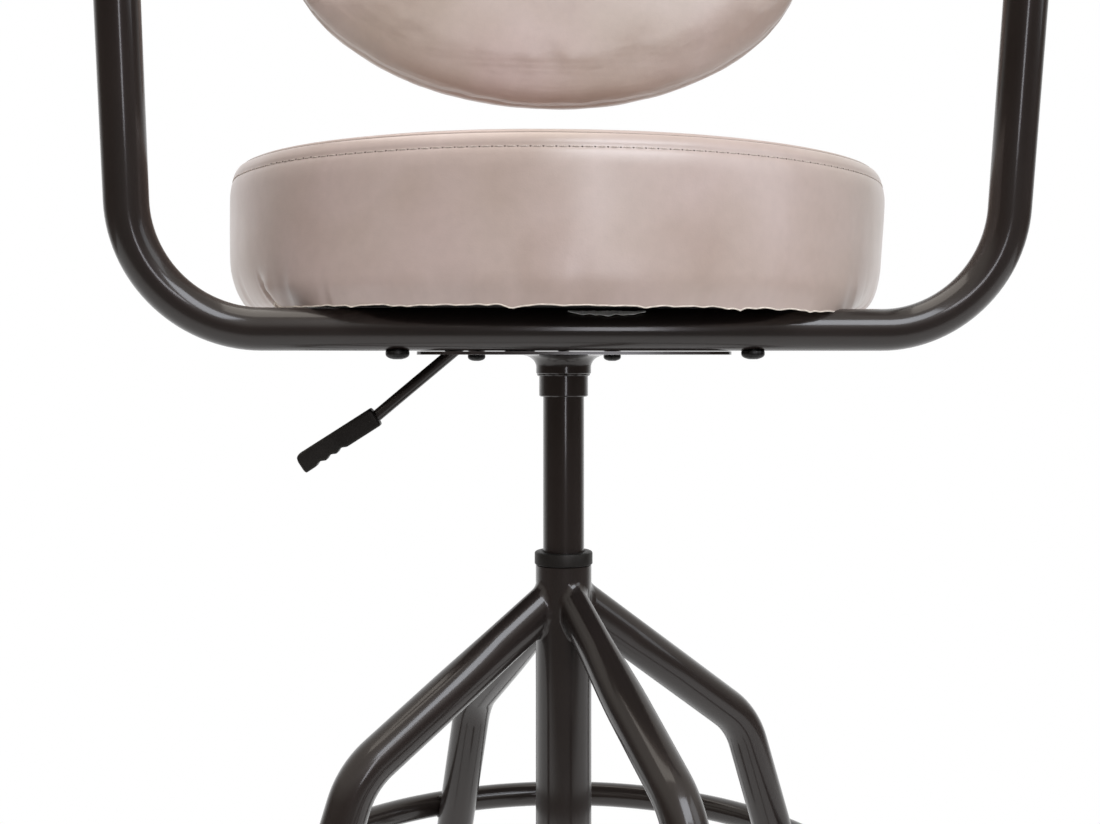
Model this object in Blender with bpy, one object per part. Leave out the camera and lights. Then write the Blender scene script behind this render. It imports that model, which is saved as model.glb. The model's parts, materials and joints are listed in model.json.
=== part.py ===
"""Bar stool: bent legs, a foot ring, a gas lift, a round seat and a tubular arm frame with a back pad.

Metres, +Z up. The origin is on the floor under the column axis, and the front of the stool faces -Y.
"""

from math import atan2, cos, pi, radians, sin, tan

import bmesh
import bpy
from mathutils import Matrix, Vector

# Clearances
GAP = 0.0003
HOLE_CLEARANCE = 0.0003
CUT_MARGIN = 0.004

# Seat
SEAT_Y = 0.050
SEAT_R = 0.229
SEAT_BASE_INSET = 0.0125
SEAT_CORNER_H = 0.026
SEAT_SEAM_RISE = 0.0885
SEAT_SHOULDER = 0.015
SEAT_CROWN = 0.013
SEAT_DRAW_IN = 0.003
SEAT_SEAM_ROLL = 0.0025
SEAT_HEM = 0.0305
COVER_T = 0.0015
FOAM_INSET = COVER_T + 3 * GAP
LINING_T = 0.0008
LINING_R = SEAT_R - 0.022
BOARD_PLAY = 0.0015
BOARD_R = SEAT_R - SEAT_BASE_INSET - COVER_T - BOARD_PLAY
BOARD_T = 0.012

# Column and its fittings
COLUMN_R = 0.019
COLUMN_WALL = 0.002
COLUMN_BOTTOM_Z = 0.190
COLUMN_TOP_Z = 0.5125
BUSHING_FLANGE_R = 0.01975
BUSHING_FLANGE_H = 0.0086
BUSHING_SLEEVE_H = 0.070
COLUMN_FLOOR_Z = 0.204
COLUMN_FLOOR_T = 0.004
END_CAP_FLANGE_T = 0.003
END_CAP_PLUG_H = 0.007
END_CAP_WALL = 0.002

# Legs
LEG_R = 0.0142
LEG_WALL = 0.0018
LEG_COUNT = 4
LEG_TURN_DEG = 23.6
LEG_JOINT_Z = 0.482
LEG_KNEE_R = 0.148
LEG_KNEE_Z = 0.388
LEG_LEAN_DEG = 18.3
LEG_BEND_R = 0.055
LEG_END_Z = 0.010
GLIDE_WALL = 0.0024
GLIDE_SLEEVE_H = 0.024
GLIDE_LIP = 0.0012

# Foot ring
RING_TUBE_R = 0.0095
RING_Z = 0.291

# Gas lift
CYLINDER_R = 0.014
CYLINDER_WALL = 0.0016
CYLINDER_LENGTH = 0.285
CYLINDER_HEAD_H = 0.014
ROD_R = 0.004
ROD_TOP_Z = 0.420
ROD_SHOULDER_R = 0.0058
ROD_SHOULDER_H = 0.006
PISTON_H = 0.012
SEAL_H = 0.014
BEARING_R = 0.011
BEARING_H = 0.005
WASHER_T = 0.0015
CLIP_R = 0.0075
CLIP_T = 0.0015
CLIP_MOUTH = 0.003
BUTTON_R = 0.0038
BUTTON_LENGTH = 0.020
BUTTON_RISE = 0.0063

# Seat plate, neck and socket
PLATE_TOP_Z = 0.6572
PLATE_T = 0.0020
PLATE_FRONT_HALF = 0.0985
PLATE_REAR_HALF = 0.078
PLATE_FRONT_Y = SEAT_Y - SEAT_R + 0.073
PLATE_REAR_Y = SEAT_Y + SEAT_R - 0.063
PLATE_CORNER_R = 0.016
SOCKET_R = 0.0167
SOCKET_BOTTOM_Z = 0.6268
NECK_BOTTOM_R = 0.01875
NECK_TOP_R = 0.0290
NECK_BOTTOM_Z = 0.6422
NECK_STRAIGHT_H = 0.0046
LEVER_SLOT_HALF = 0.011
LEVER_SLOT_X = -0.060

# Release lever
LEVER_ROD_R = 0.004
LEVER_INNER_X = 0.006
LEVER_PIVOT_X = -0.030
LEVER_BARREL_R = 0.0057
LEVER_BARREL_HALF = 0.005
LEVER_BEND_X = -0.061
LEVER_DROP_DEG = 40.0
LEVER_BEND_R = 0.012
LEVER_PIN_R = 0.0025
LEVER_PIN_HEAD_R = 0.0042
LEVER_PIN_HEAD_T = 0.0015
BRACKET_T = 0.002
BRACKET_HALF_X = 0.010
BRACKET_RISE = 0.0064
PADDLE_X = -0.1266
PADDLE_SLOPE_DEG = 32.6
PADDLE_LENGTH = 0.0597
PADDLE_HEIGHT = 0.0136
PADDLE_WIDTH = 0.020
PADDLE_ROD_DEPTH = 0.034
PADDLE_GRIPS = 3
PADDLE_GRIP_DEPTH = 0.0014
PADDLE_NOSE_R = 0.0055
PADDLE_NOSE_H = 0.0035

# Arm tube and rear hoop
ARM_TUBE_R = 0.013
ARM_TUBE_WALL = 0.0015
ARM_HALF = SEAT_R + 0.036
ARM_FRONT_Y = SEAT_Y - SEAT_R + 0.076
ARM_LEAN_DEG = 11.0
ARM_LOW_BEND_R = 0.076
ARM_TOP_BEND_R = 0.070
ARM_REST_Z = 0.975
ARM_JOINT_Y = 0.050
HOOP_Y = SEAT_Y + SEAT_R - 0.053
HOOP_BEND_R = 0.070
CONNECTOR_LENGTH = 0.070

# Back pad, in its own plane: x across, z up, y towards the rear
BACK_TILT_DEG = 6.0
BACK_RISE = 0.020
BACK_HALF_X = 0.2166
BACK_HALF_Z = 0.1436
BACK_CORNER_H = 0.015
BACK_SEAM_RISE = 0.030
BACK_SHOULDER = 0.0072
BACK_CROWN = 0.012
BACK_BASE_INSET = 0.006
BACK_HEM = 0.018
BACK_SEAM_ROLL = 0.002
BACK_DRAW_IN = 0.001
BACK_BOARD_INSET = 0.0095
BACK_PANEL_T = 0.003
BACK_PANEL_INSET = 0.010
BACK_BOLT_HALF = 0.060
SADDLE_R = 0.012
SADDLE_MIN_H = 0.0015

# Screws and tee nuts
BOLT_R = 0.004
BOLT_HEAD_R = 0.0072
BOLT_HEAD_H = 0.0048
FRONT_BOLT_HALF = 0.1085
REAR_BOLT_HALF = 0.056
REAR_BOLT_Y = SEAT_Y + SEAT_R - 0.082
SPACER_R = 0.007
NUT_BARREL_R = 0.0052
NUT_FLANGE_R = 0.009
NUT_FLANGE_T = 0.0015
NUT_BARREL_H = 0.009

# Facets round each kind of piece
ROUND = 24
SMALL_ROUND = 16
NUT_ROUND = 12
GLIDE_ROUND = 20
TUBE_SIDES = 16
RING_STEPS = 48
RING_SIDES = 10
LEVER_SIDES = 10
BEND_STEP_DEG = 18.0
SOFT_ROUND = 38
FOAM_ROUND = 28
SOFT_TOP_RINGS = 7
SOFT_INNER_RINGS = 3
SOFT_CORNER_STEPS = 3


def clear_scene():
    for old in list(bpy.data.objects):
        bpy.data.objects.remove(old, do_unlink=True)


def material(name, colour, roughness, metallic=0.0):
    """One Principled material for a piece."""
    made = bpy.data.materials.new(name)
    made.use_nodes = True
    shader = made.node_tree.nodes["Principled BSDF"]
    shader.inputs["Base Color"].default_value = (*colour, 1.0)
    shader.inputs["Roughness"].default_value = roughness
    shader.inputs["Metallic"].default_value = metallic
    return made


BLACK_BROWN_PAINT = ((0.035, 0.028, 0.026), 0.35, 0.0)
BLACK_PLASTIC = ((0.015, 0.015, 0.016), 0.5, 0.0)
BRIGHT_STEEL = ((0.55, 0.55, 0.56), 0.3, 1.0)
BLACK_STEEL = ((0.02, 0.02, 0.021), 0.4, 0.9)
LEATHER = ((0.42, 0.33, 0.28), 0.5, 0.0)
FOAM = ((0.85, 0.80, 0.62), 0.95, 0.0)
PLYWOOD = ((0.62, 0.47, 0.30), 0.7, 0.0)
LINING_CLOTH = ((0.02, 0.02, 0.02), 0.9, 0.0)


def finish_object(name, bm, look, sharp_deg=35.0):
    """Closes a bmesh into a named object with its own material, shaded smooth up to sharp edges."""
    bmesh.ops.recalc_face_normals(bm, faces=bm.faces)
    mesh = bpy.data.meshes.new(name)
    bm.to_mesh(mesh)
    bm.free()
    mesh.shade_smooth()
    mesh.set_sharp_from_angle(angle=radians(sharp_deg))
    obj = bpy.data.objects.new(name, mesh)
    obj.data.materials.append(material(name, *look))
    bpy.context.scene.collection.objects.link(obj)
    return obj


def turned(name, profile, look, steps=ROUND, sharp_deg=35.0):
    """A turned piece: the closed outline of (radius, height) points spun about Z."""
    bm = bmesh.new()
    points = [bm.verts.new((r, 0.0, z)) for r, z in profile]
    edges = [bm.edges.new((a, b)) for a, b in zip(points, points[1:] + points[:1])
             if a.co.x > 1e-7 or b.co.x > 1e-7]
    bmesh.ops.spin(bm, geom=points + edges, cent=(0, 0, 0), axis=(0, 0, 1),
                   angle=2 * pi, steps=steps, use_merge=True)
    bmesh.ops.remove_doubles(bm, verts=bm.verts, dist=1e-6)
    return finish_object(name, bm, look, sharp_deg)


def tube_profile(outer, inner, low, high, chamfer=0.0):
    """The outline of a plain tube, with its outer edges chamfered if asked."""
    if chamfer <= 0.0:
        return [(inner, low), (outer, low), (outer, high), (inner, high)]
    return [(inner, low), (outer - chamfer, low), (outer, low + chamfer),
            (outer, high - chamfer), (outer - chamfer, high), (inner, high)]


def rounded_path(corners, radii):
    """Points along straight runs joined by arcs, one radius for each inner corner."""
    path = [Vector(corners[0])]
    for before, corner, after, radius in zip(corners, corners[1:], corners[2:], radii):
        before, corner, after = Vector(before), Vector(corner), Vector(after)
        run_in = (corner - before).normalized()
        run_out = (after - corner).normalized()
        turn = run_in.angle(run_out)
        reach = radius * tan(turn / 2)
        centre = corner + (run_out - run_in).normalized() * radius / cos(turn / 2)
        start = corner - run_in * reach - centre
        normal = run_in.cross(run_out).normalized()
        steps = max(2, round(turn / radians(BEND_STEP_DEG)))
        for i in range(steps + 1):
            path.append(centre + Matrix.Rotation(turn * i / steps, 3, normal) @ start)
    path.append(Vector(corners[-1]))
    return path


def path_frames(path, closed=False):
    """A position and two cross directions at each path point, carried along without twist."""
    count = len(path)
    tangents = []
    for i in range(count):
        ahead = path[(i + 1) % count] if closed or i < count - 1 else path[i]
        behind = path[i - 1] if closed or i > 0 else path[i]
        tangents.append(((ahead - path[i]).normalized() + (path[i] - behind).normalized()).normalized())
    side = tangents[0].orthogonal().normalized()
    frames = []
    for i, tangent in enumerate(tangents):
        if i:
            turn = tangents[i - 1].rotation_difference(tangent)
            side = (turn @ side - tangent * (turn @ side).dot(tangent)).normalized()
        frames.append((path[i], side.copy(), tangent.cross(side)))
    return frames


def ring_loops(bm, frames, radius, sides):
    """One loop of vertices round each frame."""
    angles = [2 * pi * i / sides for i in range(sides)]
    return [[bm.verts.new(centre + (u * cos(a) + v * sin(a)) * radius) for a in angles]
            for centre, u, v in frames]


def join_loops(bm, loops):
    for lower, upper in zip(loops, loops[1:]):
        for i in range(len(lower)):
            j = (i + 1) % len(lower)
            bm.faces.new((lower[i], lower[j], upper[j], upper[i]))


def bent_tube(name, path, radius, wall, look, sides=TUBE_SIDES):
    """A hollow tube along a path, or a solid bar where wall is 0."""
    bm = bmesh.new()
    frames = path_frames(path)
    outer = ring_loops(bm, frames, radius, sides)
    join_loops(bm, outer)
    if wall <= 0.0:
        bm.faces.new(outer[0])
        bm.faces.new(outer[-1])
        return finish_object(name, bm, look)
    inner = ring_loops(bm, frames, radius - wall, sides // 2)
    join_loops(bm, inner)
    for end in (0, -1):
        close_rim(bm, outer[end], inner[end])
    return finish_object(name, bm, look)


def close_rim(bm, outer, inner):
    """The flat ring at a tube's end, between an outer loop and a bore with half as many sides."""
    for i in range(len(inner)):
        j = (i + 1) % len(inner)
        first, middle, last = outer[2 * i], outer[2 * i + 1], outer[(2 * i + 2) % len(outer)]
        bm.faces.new((first, middle, inner[i]))
        bm.faces.new((middle, last, inner[j], inner[i]))


def oval_loft(name, semi_x, semi_y, outline, look, steps, place=Matrix()):
    """A lofted oval piece from a closed outline of (scale, inset, height) points. Scale 0 is the centre."""
    bm = bmesh.new()
    loops = []
    for scale, inset, height in outline:
        if scale == 0.0:
            loops.append([bm.verts.new((0, 0, height))])
            continue
        angles = [2 * pi * i / steps for i in range(steps)]
        loops.append([bm.verts.new((scale * (semi_x - inset) * cos(a),
                                    scale * (semi_y - inset) * sin(a), height)) for a in angles])
    for first, second in zip(loops, loops[1:] + loops[:1]):
        if len(first) == len(second) == 1:
            continue
        for i in range(steps):
            j = (i + 1) % steps
            corners = [first[i % len(first)], first[j % len(first)],
                       second[j % len(second)], second[i % len(second)]]
            bm.faces.new(list(dict.fromkeys(corners)))
    bmesh.ops.transform(bm, matrix=place, verts=bm.verts)
    return finish_object(name, bm, look)


def extruded(name, outline, thickness, look, place=Matrix(), hidden=False):
    """A plate: the closed outline of (x, y) points extruded along +Z, then placed."""
    bm = bmesh.new()
    face = bm.faces.new([bm.verts.new((x, y, 0.0)) for x, y in outline])
    raised = bmesh.ops.extrude_face_region(bm, geom=[face])["geom"]
    bmesh.ops.translate(bm, vec=(0, 0, thickness),
                        verts=[v for v in raised if isinstance(v, bmesh.types.BMVert)])
    bmesh.ops.transform(bm, matrix=place, verts=bm.verts)
    obj = finish_object(name, bm, look)
    if hidden:
        hide_helper(obj)
    return obj


def rounded_outline(corners, radius, steps=5):
    """The corners of a convex outline replaced by arcs."""
    points = []
    for before, corner, after in zip(corners[-1:] + corners[:-1], corners, corners[1:] + corners[:1]):
        path = rounded_path([(*before, 0), (*corner, 0), (*after, 0)], [radius])[1:-1]
        for i in range(steps + 1):
            points.append(tuple(path[round(i * (len(path) - 1) / steps)][:2]))
    return list(dict.fromkeys(points))


def hide_helper(obj):
    obj.hide_render = True
    obj.display_type = "WIRE"


def cutter(name, profile, place, steps=SMALL_ROUND):
    """A turned cutting body, left out of the finished stool."""
    obj = turned(name, profile, BLACK_PLASTIC, steps)
    obj.data.transform(place)
    hide_helper(obj)
    return obj


def boolean(obj, other, operation="DIFFERENCE"):
    modifier = obj.modifiers.new(other.name, "BOOLEAN")
    modifier.object = other
    modifier.operation = operation
    modifier.solver = "EXACT"


def rod_profile(radius, low, high):
    return [(0.0, low), (radius, low), (radius, high), (0.0, high)]


def along(direction, at):
    """Places a piece turned about Z so that Z runs along direction from the given point."""
    turn = Vector((0, 0, 1)).rotation_difference(Vector(direction).normalized())
    return Matrix.Translation(at) @ turn.to_matrix().to_4x4()


# Places worked out from the driving sizes
LEAN = tan(radians(LEG_LEAN_DEG))
LEG_DROP = (LEG_JOINT_Z - LEG_KNEE_Z) / (LEG_KNEE_R - COLUMN_R)
RING_R = (LEG_KNEE_R + (LEG_KNEE_Z - RING_Z) * LEAN
          + (LEG_R + RING_TUBE_R + GAP) / cos(radians(LEG_LEAN_DEG)))
BUSHING_TOP_Z = COLUMN_TOP_Z + GAP + BUSHING_FLANGE_H
COLUMN_BORE_R = COLUMN_R - COLUMN_WALL
CYLINDER_TOP_Z = PLATE_TOP_Z - 0.0022
CYLINDER_BOTTOM_Z = CYLINDER_TOP_Z - CYLINDER_LENGTH
LEVER_Z = CYLINDER_TOP_Z + BUTTON_RISE + GAP + LEVER_ROD_R
ARM_TUBE_Z = PLATE_TOP_Z + GAP + ARM_TUBE_R
LINING_Z = ARM_TUBE_Z + ARM_TUBE_R + GAP
HEM_Z = LINING_Z + LINING_T + GAP
BOARD_Z = HEM_Z + COVER_T + GAP
BEARING_Z = COLUMN_FLOOR_Z + COLUMN_FLOOR_T + GAP
WASHER_Z = BEARING_Z + BEARING_H + GAP
ROD_SHOULDER_Z = WASHER_Z + WASHER_T + GAP


def leg_azimuth(index):
    """Angle of a leg from the front, towards the stool's +X side."""
    return radians(LEG_TURN_DEG) + 2 * pi * index / LEG_COUNT


def radial(azimuth, radius, z):
    return Vector((radius * sin(azimuth), -radius * cos(azimuth), z))


def build_column():
    turned("column_tube", tube_profile(COLUMN_R, COLUMN_BORE_R, COLUMN_BOTTOM_Z, COLUMN_TOP_Z, 0.0005),
           BLACK_BROWN_PAINT)
    sleeve_r = COLUMN_BORE_R - GAP
    bore = CYLINDER_R + HOLE_CLEARANCE
    flange_z = COLUMN_TOP_Z + GAP
    edge = 0.0012
    turned("column_bushing", [
        (bore, flange_z - BUSHING_SLEEVE_H), (sleeve_r, flange_z - BUSHING_SLEEVE_H),
        (sleeve_r, flange_z), (BUSHING_FLANGE_R, flange_z), (BUSHING_FLANGE_R, BUSHING_TOP_Z - edge),
        (BUSHING_FLANGE_R - edge, BUSHING_TOP_Z), (bore + edge, BUSHING_TOP_Z),
        (bore, BUSHING_TOP_Z - edge)], BLACK_PLASTIC)
    turned("column_floor", tube_profile(sleeve_r, ROD_R + HOLE_CLEARANCE, COLUMN_FLOOR_Z,
                                        COLUMN_FLOOR_Z + COLUMN_FLOOR_T), BRIGHT_STEEL, SMALL_ROUND * 2)
    cap_low = COLUMN_BOTTOM_Z - GAP - END_CAP_FLANGE_T
    cap_high = COLUMN_BOTTOM_Z + END_CAP_PLUG_H
    turned("column_end_cap", [
        (0.0, cap_low), (COLUMN_R - edge, cap_low), (COLUMN_R, cap_low + edge),
        (COLUMN_R, COLUMN_BOTTOM_Z - GAP), (sleeve_r, COLUMN_BOTTOM_Z - GAP), (sleeve_r, cap_high),
        (sleeve_r - END_CAP_WALL, cap_high), (sleeve_r - END_CAP_WALL, COLUMN_BOTTOM_Z - GAP),
        (0.0, COLUMN_BOTTOM_Z - GAP)], BLACK_PLASTIC)


def build_thrust_bearing():
    """Two grooved races with the ball cage between them, seated on the column floor."""
    bore = ROD_R + HOLE_CLEARANCE
    neck = (BEARING_R - bore) * 0.12
    low, high = BEARING_Z, BEARING_Z + BEARING_H
    race = BEARING_H * 0.3
    turned("thrust_bearing", [
        (bore, low), (BEARING_R, low), (BEARING_R, low + race), (BEARING_R - neck, low + race),
        (BEARING_R - neck, high - race), (BEARING_R, high - race), (BEARING_R, high), (bore, high)],
        BRIGHT_STEEL, SMALL_ROUND)


def build_legs():
    coping = cutter("leg_coping_cutter",
                    rod_profile(COLUMN_R + GAP, LEG_KNEE_Z, COLUMN_TOP_Z + LEG_R),
                    Matrix(), ROUND)
    inner_r = COLUMN_R * 0.4
    foot_r = LEG_KNEE_R + (LEG_KNEE_Z - LEG_END_Z) * LEAN
    for index, side in enumerate(("front", "right", "back", "left")):
        azimuth = leg_azimuth(index)
        path = rounded_path([radial(azimuth, inner_r, LEG_JOINT_Z + (COLUMN_R - inner_r) * LEG_DROP),
                             radial(azimuth, LEG_KNEE_R, LEG_KNEE_Z),
                             radial(azimuth, foot_r, LEG_END_Z)], [LEG_BEND_R])
        leg = bent_tube("leg_" + side, path, LEG_R, LEG_WALL, BLACK_BROWN_PAINT)
        boolean(leg, coping)
        boolean(leg, mitre_wedge("mitre_" + side, azimuth, 2 * foot_r), "INTERSECT")
        build_glide("glide_" + side, azimuth, foot_r)


def mitre_wedge(name, azimuth, reach):
    """The quarter that a leg keeps to, so that its root meets its neighbours' on the mitre planes."""
    apex = -GAP * 0.75
    outline = [(0.0, apex), (-reach, apex - reach), (reach, apex - reach)]
    place = Matrix.Rotation(azimuth, 4, "Z") @ Matrix.Translation((0, 0, -CUT_MARGIN))
    return extruded(name, outline, COLUMN_TOP_Z + 2 * LEG_R, BLACK_PLASTIC, place, hidden=True)


def build_glide(name, azimuth, foot_r):
    """A moulded cap over the leg's end, cut flat where it stands on the floor."""
    cup_r = LEG_R + HOLE_CLEARANCE
    outer_r = cup_r + GLIDE_WALL
    below = -LEG_END_Z - 2 * outer_r * LEAN
    glide = turned(name, [
        (0.0, below), (outer_r, below), (outer_r, GLIDE_SLEEVE_H - GLIDE_LIP),
        (outer_r - GLIDE_LIP, GLIDE_SLEEVE_H), (cup_r, GLIDE_SLEEVE_H), (cup_r, -GAP), (0.0, -GAP)],
        BLACK_PLASTIC, GLIDE_ROUND)
    upwards = radial(azimuth, -LEAN, 1.0)
    glide.data.transform(along(upwards, radial(azimuth, foot_r, LEG_END_Z)))
    bm = bmesh.new()
    bm.from_mesh(glide.data)
    cut = bmesh.ops.bisect_plane(bm, geom=bm.verts[:] + bm.edges[:] + bm.faces[:], plane_co=(0, 0, 0),
                                 plane_no=(0, 0, -1), clear_outer=True)
    rim = [e for e in cut["geom_cut"] if isinstance(e, bmesh.types.BMEdge)]
    bmesh.ops.edgeloop_fill(bm, edges=rim)
    bmesh.ops.recalc_face_normals(bm, faces=bm.faces)
    bm.to_mesh(glide.data)
    bm.free()


def build_foot_ring():
    bm = bmesh.new()
    path = [radial(leg_azimuth(0) + 2 * pi * i / RING_STEPS, RING_R, RING_Z) for i in range(RING_STEPS)]
    loops = ring_loops(bm, path_frames(path, closed=True), RING_TUBE_R, RING_SIDES)
    join_loops(bm, loops + loops[:1])
    finish_object("foot_ring", bm, BLACK_BROWN_PAINT)


def build_gas_lift():
    inner = CYLINDER_R - CYLINDER_WALL
    head = CYLINDER_TOP_Z - CYLINDER_HEAD_H
    valve = BUTTON_R + HOLE_CLEARANCE
    turned("gas_cylinder", [
        (inner, CYLINDER_BOTTOM_Z), (CYLINDER_R, CYLINDER_BOTTOM_Z),
        (CYLINDER_R, CYLINDER_TOP_Z - 0.001), (CYLINDER_R - 0.001, CYLINDER_TOP_Z),
        (valve, CYLINDER_TOP_Z), (valve, head), (inner, head)], BLACK_BROWN_PAINT)
    turned("cylinder_rod_guide", tube_profile(inner - GAP, ROD_R + HOLE_CLEARANCE, CYLINDER_BOTTOM_Z,
                                              CYLINDER_BOTTOM_Z + SEAL_H), BLACK_PLASTIC, SMALL_ROUND)
    button_top = CYLINDER_TOP_Z + BUTTON_RISE
    turned("valve_button", [
        (0.0, button_top - BUTTON_LENGTH), (BUTTON_R, button_top - BUTTON_LENGTH),
        (BUTTON_R, button_top - 0.0008), (BUTTON_R - 0.0008, button_top), (0.0, button_top)],
        BRIGHT_STEEL, SMALL_ROUND)


def build_piston_rod():
    """The rod stands on the thrust bearing, and a clip holds it under the column floor."""
    groove_r = ROD_R - 0.0008
    clip_top = COLUMN_FLOOR_Z - GAP
    clip_low = clip_top - CLIP_T
    stub = clip_low - 0.003
    tip = ROD_TOP_Z
    turned("piston_rod", [
        (0.0, stub), (ROD_R - 0.0006, stub), (ROD_R, stub + 0.0006), (ROD_R, clip_low - GAP),
        (groove_r, clip_low - GAP), (groove_r, clip_top + GAP), (ROD_R, clip_top + GAP),
        (ROD_R, ROD_SHOULDER_Z), (ROD_SHOULDER_R, ROD_SHOULDER_Z),
        (ROD_SHOULDER_R, ROD_SHOULDER_Z + ROD_SHOULDER_H), (ROD_R, ROD_SHOULDER_Z + ROD_SHOULDER_H),
        (ROD_R, tip), (0.0, tip)], BRIGHT_STEEL, SMALL_ROUND)
    turned("piston", [
        (0.0, tip + GAP), (CYLINDER_R - CYLINDER_WALL - HOLE_CLEARANCE, tip + GAP),
        (CYLINDER_R - CYLINDER_WALL - HOLE_CLEARANCE, tip + GAP + PISTON_H), (0.0, tip + GAP + PISTON_H)],
        BLACK_PLASTIC, SMALL_ROUND)
    turned("bearing_washer", tube_profile(BEARING_R, ROD_R + HOLE_CLEARANCE, WASHER_Z,
                                          WASHER_Z + WASHER_T), BRIGHT_STEEL, SMALL_ROUND)
    clip_bore = groove_r + HOLE_CLEARANCE
    mouth = CLIP_MOUTH / 2
    steps = SMALL_ROUND
    opening = atan2(mouth, clip_bore)
    arc = [opening + (2 * pi - 2 * opening) * i / steps for i in range(steps + 1)]
    outline = [(CLIP_R * cos(a), CLIP_R * sin(a)) for a in arc]
    outline += [(clip_bore * cos(a), clip_bore * sin(a)) for a in reversed(arc)]
    extruded("rod_clip", outline, CLIP_T, BRIGHT_STEEL, Matrix.Translation((0, 0, clip_low)))


def bolt_hole(name, x, y, low, high):
    return cutter(name, rod_profile(BOLT_R + HOLE_CLEARANCE, low, high), Matrix.Translation((x, y, 0)))


def build_seat_plate():
    outline = rounded_outline([(-PLATE_FRONT_HALF, PLATE_FRONT_Y), (PLATE_FRONT_HALF, PLATE_FRONT_Y),
                               (PLATE_REAR_HALF, PLATE_REAR_Y), (-PLATE_REAR_HALF, PLATE_REAR_Y)],
                              PLATE_CORNER_R)
    bottom = PLATE_TOP_Z - PLATE_T
    plate = extruded("seat_plate", outline, PLATE_T, BLACK_BROWN_PAINT,
                     Matrix.Translation((0, 0, bottom)))
    low, high = bottom - CUT_MARGIN, PLATE_TOP_Z + CUT_MARGIN
    boolean(plate, cutter("socket_hole_cutter", rod_profile(SOCKET_R + GAP, low, high), Matrix(), ROUND))
    for side, name in ((-1, "left"), (1, "right")):
        boolean(plate, bolt_hole("plate_hole_cutter_" + name, side * REAR_BOLT_HALF, REAR_BOLT_Y,
                                 low, high))
    slot = rounded_outline([(-PLATE_FRONT_HALF - CUT_MARGIN, -LEVER_SLOT_HALF),
                            (LEVER_SLOT_X, -LEVER_SLOT_HALF), (LEVER_SLOT_X, LEVER_SLOT_HALF),
                            (-PLATE_FRONT_HALF - CUT_MARGIN, LEVER_SLOT_HALF)], LEVER_SLOT_HALF * 0.5)
    boolean(plate, extruded("lever_slot_cutter", slot, high - low, BLACK_PLASTIC,
                            Matrix.Translation((0, 0, low)), hidden=True))
    build_neck(bottom)


def build_neck(plate_bottom):
    """The flared neck that spreads the socket's load into the plate, and the socket tube inside it."""
    flare = NECK_TOP_R - NECK_BOTTOM_R
    flare_low = NECK_BOTTOM_Z + NECK_STRAIGHT_H
    top = plate_bottom - GAP
    turns = [pi / 2 * i / 6 for i in range(7)]
    curve = [(NECK_BOTTOM_R + flare * (1 - cos(a)), flare_low + (top - flare_low) * sin(a)) for a in turns]
    bore = SOCKET_R + GAP
    turned("socket_neck", [(bore, NECK_BOTTOM_Z), (NECK_BOTTOM_R - 0.0004, NECK_BOTTOM_Z),
                           (NECK_BOTTOM_R, NECK_BOTTOM_Z + 0.0004)] + curve + [(bore, top)],
           BLACK_BROWN_PAINT)
    turned("socket_tube", tube_profile(SOCKET_R, CYLINDER_R + HOLE_CLEARANCE, SOCKET_BOTTOM_Z,
                                       PLATE_TOP_Z, 0.0006), BLACK_BROWN_PAINT)


def build_lever_bracket():
    inner = LEVER_BARREL_HALF + GAP
    outer = inner + BRACKET_T
    foot = PLATE_TOP_Z + GAP
    ear = LEVER_Z + BRACKET_RISE
    profile = [(-outer, foot), (outer, foot), (outer, ear), (inner, ear), (inner, foot + BRACKET_T),
               (-inner, foot + BRACKET_T), (-inner, ear), (-outer, ear)]
    # The U outline lies in the Y-Z plane and is extruded along X.
    place = Matrix.Translation((LEVER_PIVOT_X - BRACKET_HALF_X, 0, 0)) @ Matrix(
        ((0, 0, 1, 0), (1, 0, 0, 0), (0, 1, 0, 0), (0, 0, 0, 1)))
    bracket = extruded("lever_bracket", profile, 2 * BRACKET_HALF_X, BLACK_BROWN_PAINT, place)
    pivot = (LEVER_PIVOT_X, 0, LEVER_Z)
    reach = outer + CUT_MARGIN
    boolean(bracket, cutter("bracket_hole_cutter", rod_profile(LEVER_PIN_R + HOLE_CLEARANCE, -reach, reach),
                            along((0, 1, 0), pivot)))
    head = outer + GAP
    pin = turned("lever_pin", [
        (0.0, -outer - 0.003), (LEVER_PIN_R, -outer - 0.003), (LEVER_PIN_R, head),
        (LEVER_PIN_HEAD_R, head), (LEVER_PIN_HEAD_R, head + LEVER_PIN_HEAD_T * 0.5),
        (LEVER_PIN_HEAD_R * 0.7, head + LEVER_PIN_HEAD_T), (0.0, head + LEVER_PIN_HEAD_T)],
        BRIGHT_STEEL, SMALL_ROUND)
    pin.data.transform(along((0, 1, 0), pivot))


def lever_axis_end():
    """Where the rod leaves its slope and enters the paddle, and the paddle's direction."""
    mouth = Vector((PADDLE_X, 0, LEVER_Z - (LEVER_BEND_X - PADDLE_X) * tan(radians(LEVER_DROP_DEG))))
    slope = radians(PADDLE_SLOPE_DEG)
    return mouth, Vector((-cos(slope), 0, -sin(slope)))


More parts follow.
